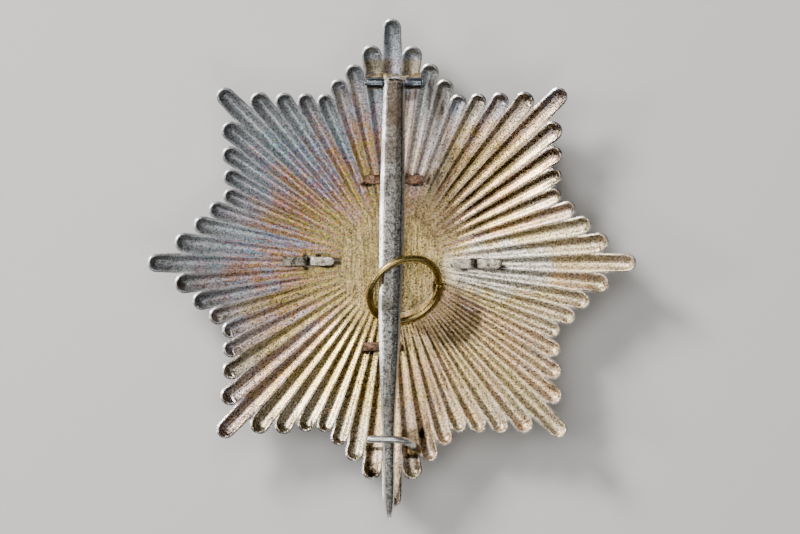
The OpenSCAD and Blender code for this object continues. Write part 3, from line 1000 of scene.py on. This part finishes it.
def dress(thing, body, node):
    """Lets a finished piece ride its body in the place of a measured node"""
    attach(thing, body)
    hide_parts(node)
    print(thing.name, count(thing), "triangles")


# %% [markdown]
# ## Finishes for the fittings
#
# All fittings share one recipe with different numbers: a clean metal, a darker tarnish that lies
# on it in blots, a grain along the piece from filing or drawing, and small pits. Some also have
# black specks, a foot painted dark as shade or, on the pin, filed bevels painted pale as wear and
# painted highlight and an upper end painted brown as a reflection. One function with options keeps
# them alike, as metal that aged together is.


# %% One recipe for worn metal
BEVEL_H = 0.6 * MM


def worn_metal(name, clean, tarnish, amount, rough, blot=2.5 * MM, along=(1, 1, 1), pit=0.12,
               black=0.0, pin_top=None, foot=None):
    """Worn metal. Amount is the share of tarnish, along stretches the grain on its axis, pit is
    the depth of the relief in mm, black the share of coarse black specks, pin_top the height of
    the pin's flat top, below which the bevels are painted pale as wear and painted highlight, and
    foot a height below which the metal is painted dark as shade"""
    paint = Paint(name)
    stretched = paint.vector(paint.x * along[0], paint.y * along[1], paint.z * along[2])
    lines = paint.grain(0.16 * MM, 3.0, 0.6, 0.0, stretched)
    blots = paint.grain(blot, 4.0, 0.62, 0.5)
    fine = paint.grain(0.22 * MM, 2.0, 0.6)
    holes = 1.0 - paint.step(paint.pits(0.55 * MM), 0.08, 0.30)
    holes = holes * paint.step(paint.grain(1.3 * MM, 2.0, 0.5), 0.48, 0.62)
    stain = paint.step(blots + (fine - 0.5) * 0.35, 0.66 - amount * 0.4, 0.86 - amount * 0.4)
    colour = paint.mix(stain, clean, tarnish)
    specks = paint.step(paint.grain(0.26 * MM, 2.0, 0.7), 0.36, 0.60)
    shade = 0.60 + lines * 0.24 + specks * 0.34 - holes * 0.40
    if black:
        coarse = paint.step(paint.grain(0.42 * MM, 3.0, 0.7), 0.40, 0.56)
        shade = shade * (1.0 - black * (1.0 - coarse))
    # Painted shade: darker below the height foot, where a piece goes down to the sheet
    if foot:
        shade = shade * (0.12 + 0.88 * paint.step(paint.z, foot - 0.4 * MM, foot + 0.4 * MM))
    colour = paint.scale(colour, shade)
    if pin_top:
        # Painted brown reflection on the pin's upper end
        brown_reflection_paint = paint.step(paint.y + (blots - 0.5) * 14 * MM, 12 * MM, 26 * MM)
        colour = paint.mix(brown_reflection_paint * 0.6, colour, (0.09, 0.055, 0.03))
        below = pin_top - paint.z
        # The filed bevels are painted pale: partly wear, partly a painted highlight
        filed_wear_and_highlight = paint.step(below, 0.16 * MM, 0.30 * MM)
        filed_wear_and_highlight = filed_wear_and_highlight * (1.0 - paint.step(below, BEVEL_H, BEVEL_H + 0.15 * MM))
        colour = paint.mix(filed_wear_and_highlight * (0.92 - stain * 0.2), colour, PALE_WEAR_AND_HIGHLIGHT)
    roughness = rough + stain * 0.18 + (fine - 0.5) * 0.2 + holes * 0.15
    surface = lines * 0.5 + fine * 0.3 - holes * 0.9
    return paint.finish(colour, roughness, paint.relief(surface, pit * MM))


# %% Finishes of pin, hinge, hook, ring and disc
blade_low, blade_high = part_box("pin_blade")
BLADE_TOP = blade_high.z - 0.02 * MM
hook_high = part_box("catch_hook")[1]
blade_finish = worn_metal(
    "blade_metal", (0.34, 0.33, 0.30), (0.17, 0.155, 0.13), 0.5, 0.27, 6 * MM, (1, 0.15, 1), 0.05,
    0.72, BLADE_TOP)
hinge_finish = worn_metal(
    "hinge_steel", (0.20, 0.225, 0.26), (0.07, 0.07, 0.085), 0.5, 0.27, 2 * MM, (0.1, 1, 1), 0.03)
solder_finish = worn_metal(
    "solder", (0.62, 0.50, 0.30), (0.22, 0.16, 0.10), 0.45, 0.40, 1.2 * MM, (1, 1, 1), 0.12)
# The hook is painted dark near its foot, as shade where it meets the sheet
hook_finish = worn_metal(
    "hook_silver", (0.88, 0.88, 0.88), (0.42, 0.40, 0.37), 0.3, 0.36, 2 * MM, (0.2, 1, 1), 0.03,
    0.3, None, hook_high.z - 2.6 * MM)
brass_finish = worn_metal(
    "ring_brass", (0.52, 0.40, 0.16), (0.22, 0.16, 0.06), 0.4, 0.28, 3 * MM, (1, 1, 1), 0.03)
medallion_finish = worn_metal(
    "medallion_silver", (0.68, 0.66, 0.62), (0.36, 0.33, 0.29), 0.3, 0.34, 7 * MM, (1, 1, 1), 0.03)
print("finishes for the fittings ready")

# %% [markdown]
# ## The pin
#
# The pin is a strip of hard metal, filed to a point, with a broad bevel on its left edge and a
# narrow one on its right. Its upper end is curled round the hinge rod. It could be cut from a
# block, but a loft through many sections keeps its long sweep smooth. The table holds what was
# measured along it: share of the length, width, shift to the side and thickness. Three Booleans
# then bore it, join the curl and cut the slit where the curl meets the strip.

# %% Sizes of the pin and the hinge
PIN_W = 4.36 * MM
PIN_T = 1.3 * MM
LEFT_BEVEL = 0.24
RIGHT_BEVEL = 0.14
RIGHT_FLAT = 0.38
HINGE_X = 0.4 * MM
HINGE_Y = 31.3 * MM
KNUCKLE_R = 1.1 * MM
hinge_z = blade_high.z - KNUCKLE_R
BLADE_LOW = BLADE_TOP - PIN_T
PIN_LEN = HINGE_Y - blade_low.y
BORE_R = 0.5 * MM
KNUCKLE_W = PIN_W * 0.88
# Share of the length, and the width, shift and thickness there as shares of PIN_W and PIN_T
BLADE = [
    (0, 0.86, 0, 1), (0.23, 0.985, -0.07, 1), (0.28, 1, -0.09, 1), (0.43, 0.965, -0.145, 1),
    (0.61, 0.83, -0.205, 1), (0.78, 0.52, -0.23, 0.95), (0.86, 0.455, -0.215, 0.9),
    (0.955, 0.43, -0.205, 0.9), (0.971, 0.37, -0.21, 0.86), (0.987, 0.25, -0.21, 0.78),
    (0.996, 0.15, -0.21, 0.65), (1, 0.06, -0.21, 0.5),
]
print("pin", round(PIN_LEN / MM, 1), "mm long, hinge axis", round(hinge_z / MM, 2), "mm up")


# %% Values between the rows of a table
def from_table(table, share):
    """The values of a table at a share of the length, joined by straight lines"""
    for first, second in zip(table, table[1:]):
        if share <= second[0]:
            part = (share - first[0]) / (second[0] - first[0])
            return [a + (b - a) * part for a, b in zip(first[1:], second[1:])]
    return list(table[-1][1:])


def softened(table, share, reach=0.02):
    """The same with its kinks smoothed out"""
    reach = min(reach, share, 1 - share)
    tries = [from_table(table, share + reach * k / 3) for k in range(-3, 4)]
    return [sum(column) / len(tries) for column in zip(*tries)]


# %% The blade and its curl
def blade_ring(share):
    """The rounded cross section of the blade at a share of its length"""
    width, shift, thick = softened(BLADE, share)
    y = HINGE_Y - PIN_LEN * share
    w = PIN_W * width
    uneven = noise.noise(Vector((3, share * 9, 0)))
    middle = HINGE_X + PIN_W * shift + noise.noise(Vector((0, share * 14, 7))) * 0.04 * MM
    t = PIN_T * thick
    low = BLADE_LOW + (PIN_T - t) / 2
    edge = low + t * (1 - BEVEL_H / PIN_T)
    left = LEFT_BEVEL + 0.03 * uneven
    right = RIGHT_BEVEL - 0.02 * uneven
    top = low + t
    corners = [
        Vector((middle - w / 2, y, low)), Vector((middle + w / 2, y, low)),
        Vector((middle + w / 2, y, edge)),
        Vector((middle + w / 2 - right * w, y, top - 0.13 * MM * width)),
        Vector((middle + w / 2 - RIGHT_FLAT * w, y, top)),
        Vector((middle - w / 2 + left * w, y, top)), Vector((middle - w / 2, y, edge)),
    ]
    return round_corners(corners, 0.10 * MM)


BLADE_ROWS = 110
blade_shape = bmesh.new()
add_loft(blade_shape, [blade_ring(k / BLADE_ROWS) for k in range(BLADE_ROWS + 1)])
blade = made("pin_blade_strip", blade_shape, blade_finish, 60)

curl_profile = [Vector(p) for p in (
    (-KNUCKLE_W / 2, BORE_R), (-KNUCKLE_W / 2, KNUCKLE_R - BEVEL_H),
    (-KNUCKLE_W / 2 + LEFT_BEVEL * KNUCKLE_W, KNUCKLE_R),
    (KNUCKLE_W / 2 - RIGHT_FLAT * KNUCKLE_W, KNUCKLE_R),
    (KNUCKLE_W / 2 - RIGHT_BEVEL * KNUCKLE_W, KNUCKLE_R - 0.12 * MM),
    (KNUCKLE_W / 2, KNUCKLE_R - BEVEL_H), (KNUCKLE_W / 2, BORE_R))]
curl_shape = bmesh.new()
curl_middle = Vector((HINGE_X, HINGE_Y, hinge_z))
add_loft(curl_shape, lathe_rings(round_corners(curl_profile, 0.08 * MM), curl_middle, 64), True)
curl = made("curl", curl_shape, blade_finish)
bore_shape = bmesh.new()
add_loft(bore_shape, solid_rings([(-PIN_W, BORE_R), (PIN_W, BORE_R)], curl_middle, 64))
bore = made("bore", bore_shape, blade_finish)
blade = combine(blade, bore, "DIFFERENCE")
blade = combine(blade, curl, "UNION")
slit_shape = bmesh.new()
bmesh.ops.create_cube(slit_shape, size=1, matrix=Matrix.LocRotScale(
    Vector((HINGE_X, HINGE_Y - 0.9 * MM, BLADE_LOW)), None, Vector((2 * PIN_W, 0.7 * MM, 0.1 * MM))))
slit = made("slit", slit_shape, blade_finish)
blade = combine(blade, slit, "DIFFERENCE")
dress(blade, "pin", "pin_blade")

# %% [markdown]
# ## The hinge
#
# Two short tubes are soldered to the rays, and a riveted rod runs through them and through the
# pin's curl. The solder is a lumpy grey-gold bank behind the tubes. The tubes are turned from a
# profile, as the curl is. The solder could be sculpted, but a loft whose sections are pushed
# about by noise looks as if it had flowed, and it stays clear of the turning curl by a rule.

# %% The two tubes
TUBE_R = 0.975 * MM
HINGE_W = 9.5 * MM
PLAY = 0.08 * MM
tube_inner = KNUCKLE_W / 2 + PLAY
tube_shape = bmesh.new()
for start, end in ((-HINGE_W / 2, -tube_inner), (tube_inner, HINGE_W / 2)):
    profile = [Vector((start, BORE_R)), Vector((start, TUBE_R)),
               Vector((end, TUBE_R)), Vector((end, BORE_R))]
    rings = lathe_rings(round_corners(profile, 0.1 * MM), curl_middle, 56)
    rings = [[p + wobble(p, 2.5 * MM, 0.03 * MM) for p in ring] for ring in rings]
    add_loft(tube_shape, rings, True)
tubes = made("hinge_tube_pair", tube_shape, hinge_finish)
dress(tubes, "star", "hinge_tubes")

# %% The bank of solder
# Tubes and hook stand this far above the ridges, whose height is read near the tubes' ends
SEAT_GAP = 0.05 * MM
BED_X = 5 * MM
BED_OUT = 2.2 * MM
# The bank's back edge, and how far its seat and its trough lie under the hinge's axis
BED_BACK = 2.15 * MM
SEAT_DROP = 0.72 * MM
TROUGH_DROP = 1.42 * MM
BED_ROWS = 72


def bed_ring(x):
    """The solder's cross section: a bank behind the tubes, lower where the curl turns"""
    low_in = ridge_height(BED_X, HINGE_Y - TUBE_R) + SEAT_GAP
    low_out = ridge_height(BED_X, HINGE_Y + BED_OUT) + SEAT_GAP
    top = hinge_z - TUBE_R / 3
    seat = hinge_z - SEAT_DROP
    away = min(1.0, max(0.0, (abs(x - HINGE_X) - tube_inner) / (0.25 * MM)))
    trough = hinge_z - TROUGH_DROP
    outline = [
        (-TUBE_R, low_in), (0, low_in + 0.15 * MM), (BED_BACK, low_out),
        (BED_BACK, low_out + 0.5 * MM), (TUBE_R * 1.1, trough + (top - trough) * away),
        (0.5 * MM, trough + (seat - trough) * away), (-0.5 * MM, trough + (seat - trough) * away),
        (-TUBE_R, trough + (top - trough) * away),
    ]
    points = round_corners([Vector((x, HINGE_Y + y, z)) for y, z in outline], 0.25 * MM)
    pushed = []
    for p in points:
        lump = wobble(p, 0.9 * MM, 0.16 * MM) + wobble(p, 0.35 * MM, 0.07 * MM)
        lump.x = 0
        if p.y > HINGE_Y + TUBE_R:
            lump.y -= 0.5 * MM + 0.8 * MM * noise.noise(Vector((p.x / (3.1 * MM), 5, 0)))
        lump.z = abs(lump.z) if p.z < low_out else lump.z
        pushed.append(p + lump)
    return pushed


bed_shape = bmesh.new()
bed_half = HINGE_W / 2 - 0.1 * MM
add_loft(bed_shape, [bed_ring(HINGE_X - bed_half + 2 * bed_half * k / BED_ROWS)
                     for k in range(BED_ROWS + 1)])
bed = made("hinge_solder", bed_shape, solder_finish, 70)
dress(bed, "star", "hinge_tubes")

# %% The riveted rod
rod_low, rod_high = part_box("hinge_rod")
ROD_R = 0.45 * MM
HEAD_R = 0.95 * MM
HEAD_L = 0.5 * MM
head_at = rod_high.x - HEAD_L
rod_profile = [
    (rod_low.x, 0.2 * MM), (rod_low.x, ROD_R), (head_at, ROD_R), (head_at, HEAD_R),
    (head_at + 0.22 * MM, HEAD_R), (rod_high.x, 0.62 * MM), (rod_high.x, 0.2 * MM)]
rod_rings = solid_rings(rod_profile, Vector((0, HINGE_Y, hinge_z)), 48)
rod_rings = [[p + wobble(p, 0.6 * MM, 0.05 * MM) if p.x > head_at else p for p in ring]
             for ring in rod_rings]
rod_shape = bmesh.new()
add_loft(rod_shape, rod_rings)
rod = made("hinge_rod_riveted", rod_shape, hinge_finish)
dress(rod, "star", "hinge_rod")

# %% [markdown]
# ## The prongs
#
# Each prong is a strip of soft metal folded double. It comes up through its slot, and its two
# legs are bent apart and pressed down. The upper and lower prongs are brown copper and lie
# across the rays, the other two are dull silver and lie along them. A flat strip could be bent
# by modifiers, but a loft lets each leg have its own length, rise and end. We walk along the
# strip, from the end of one leg down to the fold and up to the end of the other.

# %% The middle line of a leg
PRONG_T = 0.65 * MM
PRONG_W = 1.6 * MM
BEND_R = 0.35 * MM
SPLIT = 0.1 * MM
FOLD_Z = 2.2 * MM
# Steps of the walk up the stem, round the bend and along the leg
STEM_ROWS = 4
BEND_ROWS = 10
LEG_ROWS = 24


def leg_path(length, rise_deg, stem, side):
    """Middle line of one half: places and headings, from the fold up and out to the end"""
    out = BEND_R + PRONG_T / 2
    start = side * (SPLIT + PRONG_T) / 2
    path = [(start, -stem + k * stem / STEM_ROWS, math.pi / 2) for k in range(STEM_ROWS + 1)]
    turn_all = math.radians(90 - rise_deg)
    for k in range(1, BEND_ROWS + 1):
        turn = turn_all * k / BEND_ROWS
        x = start + side * out * (1 - math.cos(turn))
        path.append((x, out * math.sin(turn), math.pi / 2 - turn))
    run = length - out - PRONG_T / 2
    x0, z0, heading = path[-1]
    for k in range(1, LEG_ROWS + 1):
        step = run * k / LEG_ROWS
        path.append((x0 + side * step * math.cos(heading), z0 + step * math.sin(heading), heading))
    return path


# %% Cross sections along the folded strip
FOLD_ROWS = 8


def strip_ring(x, z, up, width=PRONG_W):
    """The strip's rounded cross section at a place, with the direction in which it is thin"""
    corners = []
    for across, rise in ((-1, -1), (1, -1), (1, 1), (-1, 1)):
        corners.append(Vector((x, across * width / 2, z)) + up * (rise * PRONG_T / 2))
    return round_corners(corners, min(0.16 * MM, width * 0.3))


def leg_rings(leg, stem, side):
    """Cross sections of one half, from the fold to the end, which is square or rounded"""
    length, rise, square = leg
    path = leg_path(length, rise, stem, side)
    end = path[-1]
    rings = []
    for x, z, heading in path:
        left = math.hypot(end[0] - x, end[1] - z) if heading < math.pi / 2 else 1
        width = PRONG_W
        if not square and left < PRONG_W / 2:
            width = PRONG_W * max(0.06, math.sqrt(1 - (1 - left / (PRONG_W / 2)) ** 2))
        up = Vector((-side * math.sin(heading), 0, math.cos(heading)))
        rings.append(strip_ring(x, z, up, width))
    return rings


def fold_rings(stem):
    """Cross sections round the fold at the strip's lower end, from left to right"""
    radius = (SPLIT + PRONG_T) / 2
    turns = [math.pi * k / FOLD_ROWS for k in range(1, FOLD_ROWS)]
    return [
        strip_ring(-radius * math.cos(turn), -stem - radius * math.sin(turn),
                   Vector((math.cos(turn), 0, math.sin(turn))))
        for turn in turns
    ]


def make_prong(name, middle, bend_z, legs, finish):
    """A prong from its slot's middle, its bend's height and its two legs"""
    stem = bend_z - FOLD_Z
    walk = leg_rings(legs[0], stem, -1)[::-1] + fold_rings(stem) + leg_rings(legs[1], stem, 1)
    place = Vector((*middle, bend_z))
    placed = [[place + p + wobble(place + p, 1.1 * MM, 0.035 * MM) for p in ring] for ring in walk]
    shape = bmesh.new()
    add_loft(shape, placed)
    return made(name, shape, finish, 50)


# %% The four prongs
bend_across = ridge_height(5.3 * MM, PRONG_OUT + PRONG_W / 2) + 0.1 * MM - BEND_R
bend_along = ridge_height(PRONG_OUT + 2 * PRONG_T + BEND_R, PRONG_W / 2) + 0.1 * MM - BEND_R
# The prongs are painted dark low down, as shade where they go into the slots
copper_finish = worn_metal(
    "copper_strip", (0.33, 0.20, 0.13), (0.10, 0.06, 0.04), 0.6, 0.38, 1.2 * MM, (0.4, 1, 1), 0.08,
    0.5, None, bend_across + 0.5 * MM)
strip_finish = worn_metal(
    "silver_strip", (0.68, 0.63, 0.52), (0.16, 0.13, 0.10), 0.55, 0.38, 1.2 * MM, (0.3, 1, 1), 0.05,
    0.4, None, bend_along + 0.5 * MM)

# Left and right leg of each: length in mm, rise in degrees, and whether its end is square
for node, place, legs, finish, slot in (
    ("prong_top", 0, ((4.9, 0, True), (5.3, 1, False)), copper_finish, "copper_strip"),
    ("prong_left", 1, ((4.7, 11, True), (4.5, 0, False)), strip_finish, "silver_strip"),
    ("prong_right", 2, ((4.4, 0, False), (4.7, 11, False)), strip_finish, "silver_strip"),
    ("prong_bottom", 3, ((5.2, 0, True), (1.5, 0, True)), copper_finish, "copper_strip"),
):
    lengths = [(length * MM, rise, square) for length, rise, square in legs]
    along_ray = node in ("prong_left", "prong_right")
    bend_z = bend_along if along_ray else bend_across
    prong = make_prong(node + "_strip", PRONG_PLACES[place], bend_z, lengths, finish)
    dress(prong, "star", node)

# %% [markdown]
# ## Wires
#
# The hook and the ring are both bent from drawn wire. One small Geometry Nodes tree sweeps a
# round section along a curve, with a radius that each point of the curve may scale: that is how
# the free end of the hook becomes round.

# %% The wire's tree
WIRE_INPUTS = {
    "Wire radius": "Float", "Sides": "Int", "Unevenness": "Float", "Material": "Material",
}


def build_wire_tree():
    """A tree that sweeps a round section along a curve and makes its skin a little uneven"""
    tree, given, result = new_tree("wire_tree", WIRE_INPUTS)
    circle = add_node(
        tree, "GeometryNodeCurvePrimitiveCircle",
        {"Radius": given["Wire radius"], "Resolution": given["Sides"]},
    )
    point_scale = add_node(tree, "GeometryNodeInputRadius").outputs[0]
    swept = add_node(
        tree, "GeometryNodeCurveToMesh",
        {"Curve": given["Geometry"], "Profile Curve": circle.outputs["Curve"],
         "Fill Caps": True, "Scale": point_scale},
    )
    uneven = add_node(tree, "ShaderNodeTexNoise", {"Scale": 1 / (1.6 * MM), "Detail": 1.0})
    lump = (Field(tree, uneven.outputs["Fac"]) - 0.5) * given["Unevenness"]
    offset = add_node(tree, "ShaderNodeVectorMath", {"Scale": lump}, operation="SCALE")
    put(tree, offset.inputs[0], add_node(tree, "GeometryNodeInputNormal").outputs[0])
    lumpy = add_node(
        tree, "GeometryNodeSetPosition",
        {"Geometry": swept.outputs[0], "Offset": offset.outputs[0]},
    )
    edge_angle = add_node(tree, "GeometryNodeInputMeshEdgeAngle").outputs["Unsigned Angle"]
    soft = Field(tree, edge_angle).do("LESS_THAN", 0.8)
    smooth = add_node(
        tree, "GeometryNodeSetShadeSmooth",
        {"Geometry": lumpy.outputs[0], "Shade Smooth": soft}, domain="EDGE",
    )
    finish_tree(tree, result, smooth.outputs[0], given["Material"])
    return tree


wire_tree = build_wire_tree()
print("the wire's tree has", len(wire_tree.nodes), "nodes")


# %% A wire along points
def wire(name, points, scales, radius, unevenness, material):
    """A wire along points, its radius scaled at each"""
    curve = bpy.data.curves.new(name, "CURVE")
    curve.dimensions = "3D"
    line = curve.splines.new("POLY")
    line.points.add(len(points) - 1)
    for spot, place, scale in zip(line.points, points, scales):
        spot.co = (*place, 1)
        spot.radius = scale
    return run_tree(name, wire_tree, {
        "Wire radius": radius, "Sides": 24, "Unevenness": unevenness, "Material": material}, curve)


# %% [markdown]
# ### The brass ring
#
# The ring was bent round a rod from a piece of wire until its ends met. They never meet quite
# true: they stand a hair apart and a little to the side of each other. So the path is an open
# circle with a narrow gap, and its ends spring out where a power of the share grows fast.

# %% Bend the ring
WIRE_R = 0.625 * MM
RING_R = 6.475 * MM
RING_TURN = math.radians(122.6)
JOINT_TURN = math.radians(-118)
# Half the gap between the wire's ends, and how far the ends spring out and up
HALF_GAP = 0.06 * MM
ENDS_OUT = 0.16 * MM
ENDS_UP = 0.10 * MM
SPRING_POWER = 9
RING_STEPS = 160
ring_low, ring_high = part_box("brass_ring")
RING_PLACE = Vector((2.2 * MM, -4.7 * MM, (ring_low.z + ring_high.z) / 2))
ring_tilt = math.asin(((ring_high.z - ring_low.z) / 2 - WIRE_R) / RING_R)
ring_frame = (Matrix.Translation(RING_PLACE) @ Matrix.Rotation(RING_TURN, 4, "Z")
              @ Matrix.Rotation(-ring_tilt, 4, "Y"))
joint_half = HALF_GAP / RING_R
ring_points = []
ring_scales = []
for k in range(RING_STEPS + 1):
    share = k / RING_STEPS
    turn = JOINT_TURN + joint_half + (2 * math.pi - 2 * joint_half) * share
    spring = (share - 0.5) * 2
    sideways = ENDS_OUT * spring**SPRING_POWER
    ring_points.append(ring_frame @ Vector((
        (RING_R + sideways) * math.cos(turn), (RING_R + sideways) * math.sin(turn),
        ENDS_UP * spring**SPRING_POWER)))
    from_end = min(share, 1 - share) * 2 * math.pi * RING_R
    ring_scales.append(0.86 + 0.14 * min(1, from_end / (0.12 * MM)) ** 0.5)
ring = wire("brass_ring_wire", ring_points, ring_scales, WIRE_R, 0.05 * MM, brass_finish)
dress(ring, "pin", "brass_ring")

# %% [markdown]
# ### The hook
#
# The hook is silver wire that stands on the lower rays, leans over and turns to the left above
# the pin. Its path is drawn in a side view, as a straight stem, a quarter circle and an arm, and
# is then leaned and put on its foot, where a turned cone of solder holds it.

# %% Bend the hook
HOOK_R = 0.65 * MM
HOOK_BEND = 4.2 * MM
HOOK_LEAN = math.radians(24)
HOOK_W = 8.4 * MM
HOOK_STEM_ROWS = 4
HOOK_BEND_ROWS = 24
HOOK_ARM_ROWS = 40
ARM_SAG = 0.10 * MM
hook_foot = Vector((3.9 * MM, -32.6 * MM, 0))
hook_foot.z = ridge_height(hook_foot.x, hook_foot.y) + SEAT_GAP
arm_z = BLADE_TOP + 0.1 * MM + HOOK_R
rise = (arm_z - hook_foot.z) / math.cos(HOOK_LEAN)
hook_frame = Matrix.Translation(hook_foot) @ Matrix.Rotation(-HOOK_LEAN, 4, "X")
side_view = [(0.0, 0.2 * MM + (rise - HOOK_BEND - 0.2 * MM) * k / HOOK_STEM_ROWS)
             for k in range(HOOK_STEM_ROWS + 1)]
for k in range(1, HOOK_BEND_ROWS + 1):
    turn = math.pi / 2 * k / HOOK_BEND_ROWS
    side_view.append((
        -HOOK_BEND * (1 - math.cos(turn)), rise - HOOK_BEND + HOOK_BEND * math.sin(turn)))
arm_len = HOOK_W - HOOK_BEND
for k in range(1, HOOK_ARM_ROWS + 1):
    sag = ARM_SAG * math.sin(math.pi * k / HOOK_ARM_ROWS)
    side_view.append((-HOOK_BEND - arm_len * (k / HOOK_ARM_ROWS), rise + sag))
hook_points = [hook_frame @ Vector((x, 0, z)) for x, z in side_view]
tip_point = hook_points[-1]
hook_scales = []
for p in hook_points:
    near = (p - tip_point).length / HOOK_R
    hook_scales.append(math.sqrt(max(0.02, 1 - (1 - near) ** 2)) if near < 1 else 1.0)
hook = wire("catch_hook_wire", hook_points, hook_scales, HOOK_R, 0.04 * MM, hook_finish)
dress(hook, "star", "catch_hook")

# %% The hook's solder
foot_shape = bmesh.new()
foot_lean = math.atan((ridge_height(hook_foot.x, hook_foot.y - MM)
                       - ridge_height(hook_foot.x, hook_foot.y)) / MM)
foot_profile = [
    (0, 0.3 * MM), (0, 1.22 * MM), (0.12 * MM, 1.0 * MM), (0.4 * MM, 0.76 * MM),
    (0.98 * MM, 0.63 * MM), (0.98 * MM, 0.3 * MM)]
foot_turn = Matrix.Translation(hook_foot) @ Matrix.Rotation(-foot_lean, 4, "X")
foot_rings = solid_rings(foot_profile, Vector((0, 0, 0)), 40, "Z", 0.15 * MM)
foot_rings = [[foot_turn @ (p + wobble(p, 0.5 * MM, 0.06 * MM) * min(1, p.z / (0.2 * MM)))
               for p in ring] for ring in foot_rings]
add_loft(foot_shape, foot_rings)
foot = made("catch_hook_solder", foot_shape, silver_finish, 60)
dress(foot, "star", "catch_hook")

# %% [markdown]
# ## The medallion
#
# The front of the star is hidden, so its centre is one plain disc with a sloping edge, on which
# the star lies. The real one is cast or struck, but a plain round disc is quickest turned from a
# profile, like a piece on a lathe.

# %% The disc
disc_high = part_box("medallion")[1]
DISC_R = disc_high.x
disc_profile = [
    (0, 2 * MM), (0, DISC_R - 3 * MM), (0.75 * MM, DISC_R - 2 * MM), (1.5 * MM, DISC_R),
    (disc_high.z, DISC_R), (disc_high.z, 2 * MM)]
disc_shape = bmesh.new()
add_loft(disc_shape, solid_rings(disc_profile, Vector((0, 0, 0)), 128, "Z", 0.2 * MM))
disc = made("medallion_disc", disc_shape, medallion_finish, 40)
dress(disc, "star", "medallion")

# %% [markdown]
# ## The table that it lies on
#
# A plain pale floor under the star shows where it touches and takes its shadow. It is no part of
# the star.

# %% Floor
floor_mesh = bpy.data.meshes.new("floor")
FLOOR_HALF = 1.5
floor_mesh.from_pydata(
    [(-FLOOR_HALF, -FLOOR_HALF, 0), (FLOOR_HALF, -FLOOR_HALF, 0),
     (FLOOR_HALF, FLOOR_HALF, 0), (-FLOOR_HALF, FLOOR_HALF, 0)], [], [(0, 1, 2, 3)]
)
floor = link("floor", floor_mesh)
floor_paint = bpy.data.materials.new("floor_paint")
floor_paint.use_nodes = True
floor_shader = floor_paint.node_tree.nodes["Principled BSDF"].inputs
floor_shader["Base Color"].default_value = (0.66, 0.65, 0.64, 1)
floor_shader["Roughness"].default_value = 0.9
floor_mesh.materials.append(floor_paint)
print("floor", 2 * FLOOR_HALF, "m wide")

# %% Print the measured model's box
print("measured", [round(v / MM, 2) for v in (*cad_low, *cad_high)])
